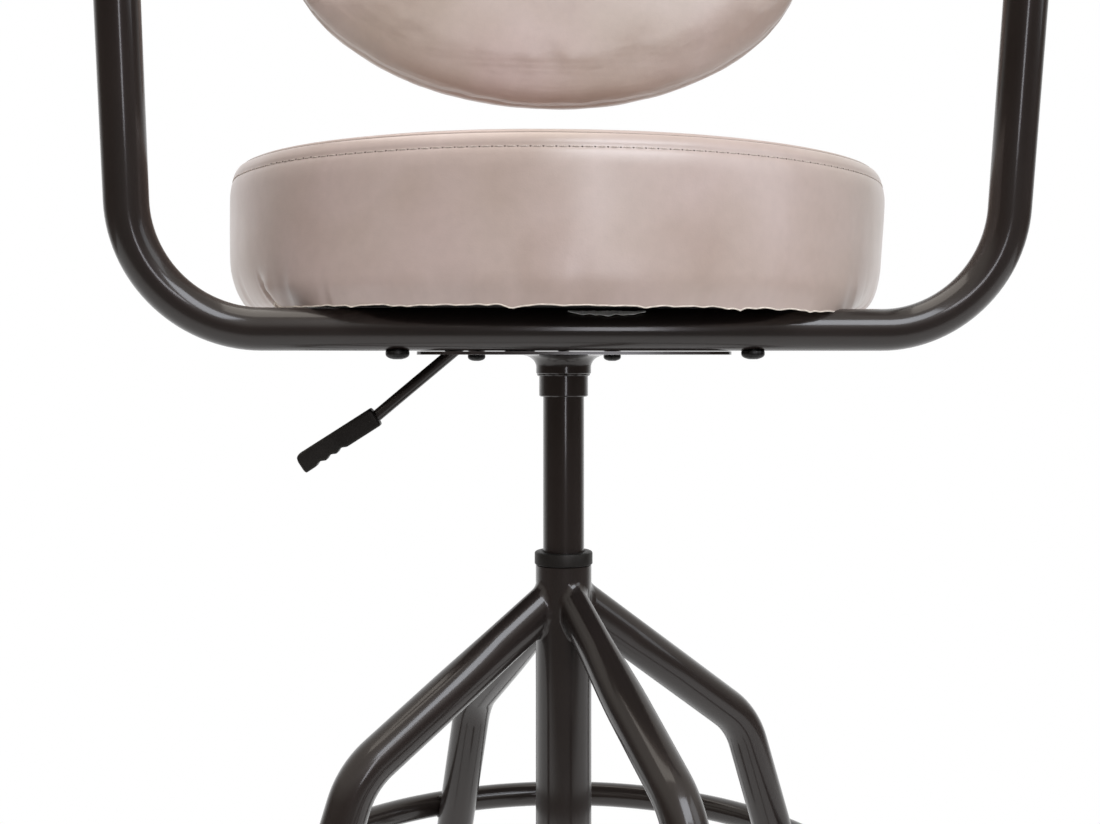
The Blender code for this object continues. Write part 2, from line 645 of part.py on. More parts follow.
def build_lever():
    """The rod and its paddle turn on the bracket's pin, so both hang from an empty on the pin's axis."""
    pivot = bpy.data.objects.new("lever_pivot", None)
    pivot.location = (LEVER_PIVOT_X, 0, LEVER_Z)
    bpy.context.scene.collection.objects.link(pivot)
    mouth, direction = lever_axis_end()
    path = rounded_path([(LEVER_INNER_X, 0, LEVER_Z), (LEVER_BEND_X, 0, LEVER_Z), mouth,
                         mouth + direction * PADDLE_ROD_DEPTH], [LEVER_BEND_R, LEVER_BEND_R])
    rod = bent_tube("lever_rod", path, LEVER_ROD_R, 0.0, BLACK_BROWN_PAINT, LEVER_SIDES)
    on_pin = along((0, 1, 0), pivot.location)
    half, reach = LEVER_BARREL_HALF, LEVER_BARREL_HALF + CUT_MARGIN
    barrel = cutter("lever_barrel_helper", rod_profile(LEVER_BARREL_R, -half, half), on_pin)
    bore = cutter("lever_bore_cutter", rod_profile(LEVER_PIN_R + HOLE_CLEARANCE, -reach, reach), on_pin)
    boolean(rod, barrel, "UNION")
    boolean(rod, bore)
    paddle = build_paddle(mouth, direction)
    for piece in (rod, paddle):
        piece.parent = pivot
        piece.matrix_parent_inverse = Matrix.Translation(-pivot.location)


def build_paddle(mouth, direction):
    """A moulded paddle: its side outline, with finger grips below, extruded across and rounded."""
    half = PADDLE_HEIGHT / 2
    grip_start, grip_end = PADDLE_LENGTH * 0.45, PADDLE_LENGTH * 0.87
    count = PADDLE_GRIPS * 6
    grips = []
    for i in range(count + 1):
        x = grip_start + (grip_end - grip_start) * i / count
        wave = (1 - cos(2 * pi * PADDLE_GRIPS * i / count)) / 2
        grips.append((x, PADDLE_GRIP_DEPTH * wave - half))
    turns = [pi / 2 * i / 4 for i in range(5)]
    nose = [(PADDLE_LENGTH - PADDLE_NOSE_R * 0.3, -half), (PADDLE_LENGTH, PADDLE_NOSE_H * 0.4 - half)]
    nose += [(PADDLE_LENGTH - PADDLE_NOSE_R * (1 - cos(a)), half - PADDLE_NOSE_H * (1 - sin(a)))
             for a in turns]
    outline = [(0.0, -half * 0.92), (0.003, -half)] + grips + nose + [(0.003, half), (0.0, half * 0.92)]
    along_x = direction
    up = Vector((0, 1, 0)).cross(along_x) * -1
    if up.z < 0:
        up.negate()
    across = along_x.cross(up)
    turn = Matrix((along_x, up, across)).transposed().to_4x4()
    place = Matrix.Translation(mouth - across * PADDLE_WIDTH / 2) @ turn
    paddle = extruded("lever_paddle", outline, PADDLE_WIDTH, BLACK_PLASTIC, place)
    soften = paddle.modifiers.new("soft_edges", "BEVEL")
    soften.width = 0.002
    soften.segments = 2
    soften.limit_method = "ANGLE"
    soften.angle_limit = radians(50)
    boolean(paddle, cutter("paddle_bore_cutter",
                           rod_profile(LEVER_ROD_R + HOLE_CLEARANCE, -CUT_MARGIN, PADDLE_ROD_DEPTH + GAP),
                           along(direction, mouth)))
    return paddle


def arm_corner_y():
    return ARM_FRONT_Y - (ARM_REST_Z - ARM_TUBE_Z) * tan(radians(ARM_LEAN_DEG))


def build_arm_frame():
    corner_y = arm_corner_y()
    side = [(ARM_HALF, ARM_JOINT_Y - GAP / 2, ARM_REST_Z), (ARM_HALF, corner_y, ARM_REST_Z),
            (ARM_HALF, ARM_FRONT_Y, ARM_TUBE_Z)]
    mirrored = [(-x, y, z) for x, y, z in reversed(side)]
    radii = [ARM_TOP_BEND_R, ARM_LOW_BEND_R, ARM_LOW_BEND_R, ARM_TOP_BEND_R]
    frame = bent_tube("arm_frame", rounded_path(side + mirrored, radii), ARM_TUBE_R, ARM_TUBE_WALL,
                      BLACK_BROWN_PAINT)
    low, high = ARM_TUBE_Z - ARM_TUBE_R - CUT_MARGIN, ARM_TUBE_Z + ARM_TUBE_R + CUT_MARGIN
    for sign, name in ((-1, "left"), (1, "right")):
        boolean(frame, bolt_hole("frame_hole_cutter_" + name, sign * FRONT_BOLT_HALF, ARM_FRONT_Y,
                                 low, high))
        ends = [Vector((sign * ARM_HALF, ARM_JOINT_Y + CONNECTOR_LENGTH * share, ARM_REST_Z))
                for share in (-0.5, 0.5)]
        bent_tube("hoop_connector_" + name, ends, connector_radius(), ARM_TUBE_WALL, BRIGHT_STEEL)


def connector_radius():
    """The connector slides inside the tube's faceted bore."""
    return (ARM_TUBE_R - ARM_TUBE_WALL) * cos(2 * pi / TUBE_SIDES) - HOLE_CLEARANCE


def build_hoop():
    joint_y = ARM_JOINT_Y + GAP / 2
    path = rounded_path([(ARM_HALF, joint_y, ARM_REST_Z), (ARM_HALF, HOOP_Y, ARM_REST_Z),
                         (-ARM_HALF, HOOP_Y, ARM_REST_Z), (-ARM_HALF, joint_y, ARM_REST_Z)],
                        [HOOP_BEND_R, HOOP_BEND_R])
    return bent_tube("back_hoop", path, ARM_TUBE_R, ARM_TUBE_WALL, BLACK_BROWN_PAINT)


def screw_profile(seat, tip):
    """A button-head screw about Z: the head's flat side at seat, its dome below, its tip above."""
    dome = [(BOLT_HEAD_R * cos(pi / 2 * i / 4), seat - BOLT_HEAD_H * (0.35 + 0.65 * sin(pi / 2 * i / 4)))
            for i in range(4)]
    socket_r, socket_d = BOLT_HEAD_R * 0.36, BOLT_HEAD_H * 0.5
    low = seat - BOLT_HEAD_H
    return ([(0.0, low + socket_d), (socket_r, low + socket_d), (socket_r, low)]
            + [point for point in reversed(dome) if point[0] > socket_r]
            + [(BOLT_HEAD_R, seat), (BOLT_R, seat), (BOLT_R, tip - 0.0008), (BOLT_R - 0.0008, tip)]
            + [(0.0, tip)])


def nut_profile(top):
    """A tee nut about Z with its flange's upper face at the given height."""
    bore = BOLT_R + HOLE_CLEARANCE
    flange = top - NUT_FLANGE_T
    return [(bore, flange - NUT_BARREL_H), (NUT_BARREL_R, flange - NUT_BARREL_H), (NUT_BARREL_R, flange),
            (NUT_FLANGE_R, flange), (NUT_FLANGE_R, top), (bore, top)]


def nut_recess(name, top, bottom, place):
    """A stepped cutter: the screw's clearance hole, the nut's barrel and the flange's recess."""
    barrel = NUT_BARREL_R + HOLE_CLEARANCE
    flange_r = NUT_FLANGE_R + HOLE_CLEARANCE
    flange = top - NUT_FLANGE_T - 2 * GAP
    return cutter(name, [(0.0, bottom - CUT_MARGIN), (barrel, bottom - CUT_MARGIN), (barrel, flange),
                         (flange_r, flange), (flange_r, top + CUT_MARGIN), (0.0, top + CUT_MARGIN)], place)


def seat_fixings():
    """Name and place of the screws that hold the seat board: at the arm tube and at the plate's rear."""
    for sign, side in ((-1, "left"), (1, "right")):
        yield "front_" + side, sign * FRONT_BOLT_HALF, ARM_FRONT_Y, ARM_TUBE_Z - ARM_TUBE_R
        yield "rear_" + side, sign * REAR_BOLT_HALF, REAR_BOLT_Y, PLATE_TOP_Z - PLATE_T


def build_seat_fixings(board, lining):
    board_top = BOARD_Z + BOARD_T
    for name, x, y, seat_z in seat_fixings():
        place = Matrix.Translation((x, y, 0))
        screw = turned("bolt_" + name, screw_profile(seat_z - GAP, board_top - 2 * GAP), BLACK_STEEL,
                       NUT_ROUND)
        screw.data.transform(place)
        nut = turned("tee_nut_" + name, nut_profile(board_top - GAP), BRIGHT_STEEL, NUT_ROUND)
        nut.data.transform(place)
        boolean(board, nut_recess("board_recess_" + name, board_top, BOARD_Z, place))
        boolean(lining, bolt_hole("lining_hole_" + name, x, y, LINING_Z - CUT_MARGIN, HEM_Z + CUT_MARGIN))
        if name.startswith("rear"):
            spacer = turned("spacer_" + name, tube_profile(SPACER_R, BOLT_R + HOLE_CLEARANCE,
                                                           PLATE_TOP_Z + GAP, LINING_Z - GAP),
                            BRIGHT_STEEL, SMALL_ROUND)
            spacer.data.transform(place)


def cushion_side(base_inset, corner_h, seam_rise, draw_in, thin):
    """A cover's side from its base to its seam, as (scale, inset, height) points, thin inside the face."""
    points = []
    for i in range(SOFT_CORNER_STEPS + 1):
        a = pi / 2 * i / SOFT_CORNER_STEPS
        points.append((1.0, base_inset * (1 - sin(a)) + thin, corner_h * (1 - cos(a))))
    middle = (corner_h + seam_rise) / 2
    points.append((1.0, draw_in * 0.35 + thin, middle))
    points.append((1.0, draw_in + thin, seam_rise))
    return points


def cushion_top(seam_rise, draw_in, shoulder, crown, thin, seam_roll, rings):
    """The crowned top from the seam to the centre: a rounded shoulder and then a shallow dome."""
    points = [(1.0, draw_in + seam_roll + thin, seam_rise + seam_roll * 0.4)]
    for i in range(1, rings):
        s = cos(pi / 2 * i / rings) ** 0.75
        rise = shoulder * (1 - s ** 12) + crown * (1 - s * s)
        points.append((s, draw_in + thin, seam_rise + rise - thin))
    points.append((0.0, 0.0, seam_rise + shoulder + crown - thin))
    return points


def soft_shell(side, top, inner_side, inner_top, hem_inset, thin):
    """The closed outline of a cover: hem, side and top outside, and the same again inside."""
    outer = [(1.0, hem_inset, 0.0)] + side + top
    inner = [(s, inset, z) for s, inset, z in reversed(inner_side + inner_top)]
    return outer + inner + [(1.0, hem_inset, thin)]


def cushion(name, place, semi_x, semi_y, sizes):
    """A stitched cover, hemmed round its board, and the foam block inside it."""
    base_inset, corner_h, seam_rise, shoulder, crown, draw_in, seam_roll, hem = sizes
    walls = []
    for thin, rings in ((0.0, SOFT_TOP_RINGS), (COVER_T, SOFT_INNER_RINGS), (FOAM_INSET, SOFT_INNER_RINGS)):
        side = lifted(cushion_side(base_inset, corner_h, seam_rise, draw_in, thin), thin)
        walls.append((side, cushion_top(seam_rise, draw_in, shoulder, crown, thin, seam_roll, rings)))
    outer, inner, foam = walls
    oval_loft(name + "_cover", semi_x, semi_y, soft_shell(*outer, *inner, hem, COVER_T), LEATHER,
              SOFT_ROUND, place)
    oval_loft(name + "_foam", semi_x, semi_y, foam_outline(*foam, COVER_T + BOARD_T + 2 * GAP), FOAM,
              FOAM_ROUND, place)


def foam_outline(side, top, base):
    """A foam block: flat where it sits on its board, then the side and top of the cover's inside."""
    for lower, upper in zip(side, side[1:]):
        if lower[2] < base <= upper[2]:
            share = (base - lower[2]) / (upper[2] - lower[2])
            inset = lower[1] + (upper[1] - lower[1]) * share
    above = [point for point in side if point[2] > base + GAP]
    return [(0.0, 0.0, base), (1.0, inset, base)] + above + top


def build_seat():
    cushion("seat", Matrix.Translation((0, SEAT_Y, HEM_Z)), SEAT_R, SEAT_R,
            (SEAT_BASE_INSET, SEAT_CORNER_H, SEAT_SEAM_RISE, SEAT_SHOULDER, SEAT_CROWN,
             SEAT_DRAW_IN, SEAT_SEAM_ROLL, SEAT_HEM))
    board = turned("seat_board", rod_profile(BOARD_R, BOARD_Z, BOARD_Z + BOARD_T), PLYWOOD)
    lining = turned("seat_lining", rod_profile(LINING_R, LINING_Z, LINING_Z + LINING_T), LINING_CLOTH)
    for piece in (board, lining):
        piece.data.transform(Matrix.Translation((0, SEAT_Y, 0)))
    build_seat_fixings(board, lining)


def lifted(points, height):
    """The same side with its foot raised, so that the wall keeps its thickness over the base."""
    top = points[-1][2]
    return [(s, inset, z + height * (1 - z / top)) for s, inset, z in points]


def back_place():
    """The pad's own frame: z' is its normal towards the sitter, y' runs up, and x' across.

    Its origin lies on the hoop's axis behind the pad's middle.
    """
    tilt = radians(BACK_TILT_DEG)
    normal = Vector((0, -cos(tilt), sin(tilt)))
    up = Vector((0, sin(tilt), cos(tilt)))
    across = up.cross(normal)
    turn = Matrix((across, up, normal)).transposed().to_4x4()
    return Matrix.Translation((0, HOOP_Y, ARM_REST_Z)) @ turn


def build_back(hoop):
    place = back_place()
    raised = Matrix.Translation((0, BACK_RISE, 0))
    panel_z = ARM_TUBE_R + SADDLE_MIN_H + 2 * GAP
    hem_z = panel_z + BACK_PANEL_T + GAP
    board_z = hem_z + COVER_T + GAP
    middle = place @ raised
    cushion("back", middle @ Matrix.Translation((0, 0, hem_z)), BACK_HALF_X, BACK_HALF_Z,
            (BACK_BASE_INSET, BACK_CORNER_H, BACK_SEAM_RISE, BACK_SHOULDER, BACK_CROWN, BACK_DRAW_IN,
             BACK_SEAM_ROLL, BACK_HEM))
    board = oval_loft("back_board", BACK_HALF_X, BACK_HALF_Z, plate_outline(BACK_BOARD_INSET, BOARD_T),
                      PLYWOOD, ROUND, middle @ Matrix.Translation((0, 0, board_z)))
    panel = oval_loft("back_panel", BACK_HALF_X, BACK_HALF_Z, plate_outline(BACK_PANEL_INSET, BACK_PANEL_T),
                      LINING_CLOTH, ROUND, middle @ Matrix.Translation((0, 0, panel_z)))
    board_top = board_z + BOARD_T
    for sign, name in ((-1, "left"), (1, "right")):
        at = place @ Matrix.Translation((sign * BACK_BOLT_HALF, 0, 0))
        screw = turned("back_bolt_" + name, screw_profile(-ARM_TUBE_R - GAP, board_top - 2 * GAP),
                       BLACK_STEEL, NUT_ROUND)
        screw.data.transform(at)
        nut = turned("back_tee_nut_" + name, nut_profile(board_top - GAP), BRIGHT_STEEL, NUT_ROUND)
        nut.data.transform(at)
        boolean(board, nut_recess("back_recess_" + name, board_top, board_z, at))
        hole = rod_profile(BOLT_R + HOLE_CLEARANCE, -ARM_TUBE_R - CUT_MARGIN, board_z)
        hole_cutter = cutter("back_hole_cutter_" + name, hole, at)
        boolean(hoop, hole_cutter)
        boolean(panel, hole_cutter)
        build_saddle("back_saddle_" + name, at, panel_z)


def plate_outline(inset, thickness):
    return [(0.0, 0.0, 0.0), (1.0, inset, 0.0), (1.0, inset, thickness), (0.0, 0.0, thickness)]


def build_saddle(name, at, panel_z):
    """A spacer between the round hoop and the flat panel, hollowed to the hoop's radius."""
    start = ARM_TUBE_R * 0.35
    saddle = turned(name, tube_profile(SADDLE_R, BOLT_R + HOLE_CLEARANCE, start, panel_z - GAP),
                    BLACK_PLASTIC, SMALL_ROUND)
    saddle.data.transform(at)
    hollow = cutter(name + "_cutter", rod_profile(ARM_TUBE_R + GAP, -2 * SADDLE_R, 2 * SADDLE_R),
                    at @ Matrix.Rotation(pi / 2, 4, "Y"), TUBE_SIDES * 2)
    boolean(saddle, hollow)


def build_stool():
    clear_scene()
    build_column()
    build_thrust_bearing()
    build_legs()
    build_foot_ring()
    build_gas_lift()
    build_piston_rod()
    build_seat_plate()
    build_lever_bracket()
    build_lever()
    build_arm_frame()
    hoop = build_hoop()
    build_seat()
    build_back(hoop)


build_stool()
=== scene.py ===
"""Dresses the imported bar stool: painted tubes, sewn leather cushions, welds and small fittings."""

import json
import random
from bisect import bisect_right
from math import asin, cos, exp, hypot, pi, radians, sin, sqrt, tan

import bmesh
import bpy
from mathutils import Matrix, Vector, noise
from mathutils.bvhtree import BVHTree
from mathutils.kdtree import KDTree


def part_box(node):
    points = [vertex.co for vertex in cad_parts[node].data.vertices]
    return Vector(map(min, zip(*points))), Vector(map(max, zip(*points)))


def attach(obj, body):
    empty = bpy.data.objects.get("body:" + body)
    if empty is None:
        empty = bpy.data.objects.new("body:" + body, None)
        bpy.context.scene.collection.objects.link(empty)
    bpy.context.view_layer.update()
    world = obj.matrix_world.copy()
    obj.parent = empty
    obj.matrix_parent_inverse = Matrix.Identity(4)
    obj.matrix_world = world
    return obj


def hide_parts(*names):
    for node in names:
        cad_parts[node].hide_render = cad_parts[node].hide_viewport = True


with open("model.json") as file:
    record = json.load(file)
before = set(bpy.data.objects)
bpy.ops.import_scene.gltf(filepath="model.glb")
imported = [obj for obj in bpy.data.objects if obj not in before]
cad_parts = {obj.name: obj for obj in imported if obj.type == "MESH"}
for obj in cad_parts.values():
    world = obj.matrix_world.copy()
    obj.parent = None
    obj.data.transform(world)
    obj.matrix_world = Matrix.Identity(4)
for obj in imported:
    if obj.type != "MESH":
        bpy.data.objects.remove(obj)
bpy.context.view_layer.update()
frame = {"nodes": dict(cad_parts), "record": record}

RAND = random.Random(11)

# Camera: a horizontal view, worked out from the pixels of the bolts, the bends, the ring and the legs
CAMERA_DISTANCE = 0.945
CAMERA_YAW = 0.0794
CAMERA_Z = 0.655
FOCAL_PX = 1385.0
IMAGE_WIDTH, IMAGE_HEIGHT = 1100, 824
CENTRE_X_PX, CENTRE_Y_PX = 563.6, 355.0

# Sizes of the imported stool, in metres
GAP = 0.0003
COLUMN_R, COLUMN_BORE_R = 0.019, 0.017
COLUMN_BOTTOM_Z, COLUMN_TOP_Z = 0.190, 0.5125
BUSHING_FLANGE_R, BUSHING_TOP_Z = 0.01975, 0.5214
CYLINDER_R = 0.014
CYLINDER_TOP_Z = 0.655
PLATE_TOP_Z, PLATE_T = 0.6572, 0.0020
SOCKET_R, SOCKET_BOTTOM_Z = 0.0167, 0.6268
NECK_BOTTOM_R, NECK_TOP_R = 0.01875, 0.0290
NECK_BOTTOM_Z, NECK_STRAIGHT_H = 0.6422, 0.0046
LEG_R, LEG_TURN = 0.0142, radians(23.6)
LEG_JOINT_Z, LEG_KNEE_R, LEG_KNEE_Z = 0.482, 0.148, 0.388
LEG_LEAN = tan(radians(18.3))
LEG_BEND_R, LEG_END_Z = 0.055, 0.010
RING_TUBE_R, RING_Z = 0.0095, 0.291
RING_R = (LEG_KNEE_R + (LEG_KNEE_Z - RING_Z) * LEG_LEAN
          + (LEG_R + RING_TUBE_R + GAP) / cos(radians(18.3)))
ARM_TUBE_R, ARM_HALF, ARM_FRONT_Y = 0.013, 0.265, -0.103
ARM_TUBE_Z, ARM_REST_Z, ARM_JOINT_Y = 0.6705, 0.975, 0.050
ARM_LEAN = tan(radians(11.0))
ARM_LOW_BEND_R, ARM_TOP_BEND_R = 0.076, 0.070
HOOP_Y, HOOP_BEND_R = 0.226, 0.070
LEVER_R, LEVER_PIVOT_X, LEVER_Z = 0.004, -0.030, 0.6656
LEVER_INNER_X, LEVER_BEND_X, LEVER_DROP = 0.006, -0.065, radians(40.0)
LEVER_BEND_R = 0.012
PADDLE_X, PADDLE_SLOPE = -0.1266, radians(32.6)
PADDLE_LENGTH, PADDLE_HEIGHT, PADDLE_WIDTH = 0.0597, 0.0136, 0.020
PADDLE_ROD_DEPTH = 0.034
HEM_Z = 0.6849
SEAT_Y, SEAT_R, SEAT_LEAN = 0.050, 0.229, 0.007
SEAT_ROLL_H, SEAT_STITCH_H, SEAT_SEAM_H = 0.074, 0.0862, 0.0953
SEAT_STITCH_R, SEAT_SEAM_R = 0.2273, 0.2228
BACK_TILT = radians(6.0)
BACK_RISE, BACK_HALF_X, BACK_HALF_Z = 0.020, 0.2166, 0.1436
BACK_HEM_H = 0.0184
# Where the front hem dips: angle round the seat, depth and half width
HEM_DIPS = ((233.2, 0.0010, 0.0034), (243.2, 0.0005, 0.0040), (247.3, 0.0006, 0.0030),
            (250.7, 0.0005, 0.0030), (259.0, 0.0018, 0.0042), (266.6, 0.0006, 0.0040),
            (278.3, 0.0010, 0.0036), (291.4, 0.0012, 0.0030), (293.6, 0.0014, 0.0026),
            (308.0, 0.0010, 0.0036))
# The minus sines between which the hem starts to hang in front, at the left and at the right
HEM_LEFT_START, HEM_RIGHT_START = (0.38, 0.48), (0.50, 0.66)
# The pleat at the hem's left end: its angle, how it slants in degrees per metre, and its height
PLEAT_DEG, PLEAT_SLANT, PLEAT_TOP_H = 211.3, 1.8 / 0.0147, 0.022
# How far a leg's end is pressed in from the sides, as a share of its radius, and its weld's size
LEG_PRESSED, LEG_WELD = 0.28, 0.0036
# Screw places, shank radius, and the half width and the rim of the hex socket
FRONT_SCREW_X, REAR_SCREW_X, REAR_SCREW_Y, BACK_SCREW_X = 0.1085, 0.056, 0.197, 0.060
BACK_SCREW_LENGTH, SHANK_R, HEX_HALF, HEX_RIM_R = 0.0446, 0.0040, 0.0022, 0.0029
CYLINDER_LENGTH = 0.285
LINING_R, LINING_TOP_Z, LINING_BOTTOM_Z = 0.2070, 0.6846, 0.6838
# How the leather swells over its foam: a light sheet under pressure, solved on voxels of this size
CLOTH_SETTINGS = {
    "vertex_group_mass": "held", "use_pressure": True, "uniform_pressure_force": 4.0, "mass": 0.25,
    "tension_stiffness": 22.0, "compression_stiffness": 22.0, "shear_stiffness": 10.0,
    "bending_stiffness": 0.6}
CLOTH_STEPS, CLOTH_VOXEL = 20, 0.006
# Name, place, target, width and height in metres, power in watts, colour
LAMPS = (("key", (0.75, -2.1, 2.3), (0, 0, 0.6), 1.8, 1.2, 46, (0.87, 0.92, 1.0)),
         ("strip", (0.16, -1.35, 0.80), (0, 0, 0.82), 0.14, 0.6, 1.8, (0.93, 0.93, 1.0)),
         ("overhead", (-0.5, 0.0, 2.6), (0, 0, 0.6), 2.0, 1.6, 20, (1.0, 0.94, 0.86)),
         ("fill", (1.8, -0.9, 1.4), (0, 0, 0.7), 1.0, 1.2, 6, (0.87, 0.93, 1.0)))
# Edges sharper than this stay sharp in the shading
SHARP_DEG = 32.0


# Materials

class Shading:
    """The node tree of a world or a material, and the few nodes that this scene needs."""

    def __init__(self, owner):
        owner.use_nodes = True
        self.nodes, self.links = owner.node_tree.nodes, owner.node_tree.links

    def add(self, kind, *sources, **settings):
        """A node with its settings, its first inputs linked to the sources."""
        node = self.nodes.new("ShaderNode" + kind)
        for key, value in settings.items():
            setattr(node, key, value)
        for place, source in enumerate(sources):
            self.links.new(source, node.inputs[place])
        return node

    def texture(self, kind, scale, detail=2.0, stretch=(1, 1, 1)):
        """A Noise or Voronoi texture in object coordinates, in cells per metre."""
        mapping = self.add("Mapping", self.add("TexCoord").outputs["Object"])
        mapping.inputs["Scale"].default_value = stretch
        made = self.add("Tex" + kind, mapping.outputs["Vector"])
        made.inputs["Scale"].default_value = scale
        made.inputs["Detail"].default_value = detail
        return made.outputs["Fac" if kind == "Noise" else "Distance"]

    def ramp(self, source, *stops):
        """A colour ramp. Each stop is (place, colour) or (place, grey)."""
        made = self.add("ValToRGB", source)
        elements = made.color_ramp.elements
        while len(elements) < len(stops):
            elements.new(0.5)
        for element, (place, colour) in zip(elements, stops):
            element.position = place
            element.color = (*(colour if isinstance(colour, tuple) else (colour,) * 3), 1.0)
        return made.outputs["Color"]

    def mix(self, share, first, second, blend="MIX"):
        """A colour mix. share is a number or a socket."""
        made = self.add("Mix", data_type="RGBA", blend_type=blend)
        if isinstance(share, float):
            made.inputs[0].default_value = share
        else:
            self.links.new(share, made.inputs[0])
        self.links.new(first, made.inputs[6])
        self.links.new(second, made.inputs[7])
        return made.outputs[2]

    def span(self, value, low, high, kind="LINEAR"):
        """0 where the value is low, 1 where it is high."""
        made = self.add("MapRange", value, interpolation_type=kind)
        made.inputs["From Min"].default_value = low
        made.inputs["From Max"].default_value = high
        return made.outputs[0]

    def maths(self, kind, first, second):
        return self.add("Math", first, second, operation=kind).outputs[0]

    def white_share(self, behind, far=None):
        """How white a ray finds the room: camera rays (from far outwards), mirrored ones behind."""
        rays = self.add("LightPath").outputs
        mirrored = self.maths("MAXIMUM", rays["Is Glossy Ray"], rays["Is Transmission Ray"])
        camera = rays["Is Camera Ray"]
        if far:
            camera = self.maths("MULTIPLY", camera, far)
        return self.maths("MAXIMUM", camera, self.maths("MULTIPLY", mirrored, behind))


class Surface(Shading):
    """A Principled material. others sets more of the shader's sockets by name."""

    def __init__(self, name, colour, roughness, others=None):
        self.material = bpy.data.materials.new(name)
        super().__init__(self.material)
        self.shader = self.nodes["Principled BSDF"]
        values = {"Base Color": (*colour, 1.0), "Roughness": roughness, **(others or {})}
        for socket, value in values.items():
            self.shader.inputs[socket].default_value = value

    def drive(self, socket, source, *stops):
        self.links.new(self.ramp(source, *stops), self.shader.inputs[socket])

    def bump(self, *layers):
        """Chains bumps: (height socket, depth in metres, strength)."""
        normal = None
        for height, distance, strength in layers:
            made = self.add("Bump")
            made.inputs["Distance"].default_value = distance
            made.inputs["Strength"].default_value = strength
            self.links.new(height, made.inputs["Height"])
            if normal:
                self.links.new(normal, made.inputs["Normal"])
            normal = made.outputs["Normal"]
        self.links.new(normal, self.shader.inputs["Normal"])


def paint_material():
    """Smooth powder coat: brown-black, with a faint orange peel and a slight change of gloss."""
    paint = Surface("brown_black_powder_coat", (0.013, 0.0108, 0.0106), 0.4, {
        "Specular IOR Level": 0.22, "Specular Tint": (1.0, 0.90, 0.85, 1),
        "Coat Weight": 0.8, "Coat Roughness": 0.13})
    paint.drive("Base Color", paint.texture("Noise", 14.0),
                (0.3, (0.0130, 0.0096, 0.0086)), (0.7, (0.0175, 0.0132, 0.0120)))
    paint.drive("Roughness", paint.texture("Noise", 25.0), (0.3, 0.34), (0.75, 0.42))
    paint.bump((paint.texture("Noise", 260.0, 0.0), 0.0002, 0.05))
    return paint.material


def leather_material(name, seed):
    """Faux leather: soft clouds of warm grey and pink-beige, fine grain, and a few faint creases."""
    hide = Surface(name, (0.50, 0.41, 0.385), 0.45, {
        "Sheen Weight": 0.12, "Sheen Roughness": 0.5, "Specular IOR Level": 0.42,
        "Coat Weight": 0.85, "Coat Roughness": 0.30})
    clouds = hide.ramp(hide.texture("Noise", 11.0, 2.5, (1, 1, 1.15)),
                       (0.28, (0.402, 0.304, 0.260)), (0.46, (0.470, 0.370, 0.329)),
                       (0.60, (0.513, 0.410, 0.376)), (0.78, (0.473, 0.374, 0.337)))
    tint = hide.ramp(hide.texture("Noise", 5.5 + seed), (0.35, (0.94, 0.96, 0.90)), (0.65, (1.04, 1.0, 1.03)))
    speckle = hide.ramp(hide.texture("Noise", 160.0, 4.0), (0.3, 0.95), (0.7, 1.03))
    tinted = hide.mix(0.8, clouds, tint, "MULTIPLY")
    hide.links.new(hide.mix(0.7, tinted, speckle, "MULTIPLY"), hide.shader.inputs["Base Color"])
    hide.drive("Roughness", hide.texture("Noise", 30.0, 4.0), (0.3, 0.38), (0.7, 0.52))
    creases = hide.texture("Noise", 22.0, 6.0, (1.0, 1.0, 3.0))
    pores = hide.texture("Noise", 420.0, 5.0)
    hide.bump((creases, 0.0012, 0.10), (pores, 0.0003, 0.16), (hide.texture("Voronoi", 900.0), 0.0002, 0.12))
    return hide.material


def plastic_material():
    plastic = Surface("moulded_black_plastic", (0.010, 0.0095, 0.009), 0.45, {
        "Specular IOR Level": 0.25, "Specular Tint": (1.0, 0.93, 0.88, 1)})
    marks = plastic.texture("Noise", 45.0, 5.0)
    plastic.drive("Base Color", marks, (0.3, (0.008, 0.0075, 0.007)), (0.7, (0.014, 0.013, 0.012)))
    plastic.drive("Roughness", marks, (0.3, 0.38), (0.7, 0.50))
    plastic.bump((plastic.texture("Noise", 900.0, 1.0), 0.0001, 0.15))
    return plastic.material


def steel_material(name, dark, light, low, high, stretch):
    """Plated or blackened steel with fine drawn or turned marks."""
    steel = Surface(name, light, low, {"Metallic": 1.0})
    marks = steel.texture("Noise", 260.0, 6.0, stretch)
    steel.drive("Base Color", marks, (0.3, dark), (0.7, light))
    steel.drive("Roughness", marks, (0.3, low), (0.7, high))
    steel.bump((marks, 0.0001, 0.15))
    return steel.material


def cloth_material(name, dark, light, weave_scale, sheen):
    """Thin non-woven cloth: crossed fibres and a matt, hairy face."""
    cloth = Surface(name, light, 0.92, {"Sheen Weight": sheen, "Specular IOR Level": 0.2})
    fibres = cloth.texture("Noise", weave_scale, 8.0, (1.0, 6.0, 1.0))
    crossed = cloth.texture("Noise", weave_scale, 8.0, (6.0, 1.0, 1.0))
    both = cloth.mix(0.5, fibres, crossed)
    cloth.drive("Base Color", both, (0.35, dark), (0.65, light))
    cloth.bump((both, 0.0004, 0.35))
    return cloth.material


def plain_material(name, colour, roughness, texture, stops, bump=None):
    """One texture that sets the colour and, where bump gives (depth, strength), the relief."""
    made = Surface(name, colour, roughness)
    marks = made.texture(*texture)
    made.drive("Base Color", marks, *stops)
    if bump:
        made.bump((marks, *bump))
    return made.material


def shade_material(name, colour):
    """The painted shade inside a needle hole or a seam, or the pale line along the hem's lower edge."""
    return plain_material(name, colour, 0.9, ("Noise", 300.0),
                          ((0.3, tuple(c * 0.7 for c in colour)), (0.7, colour)))


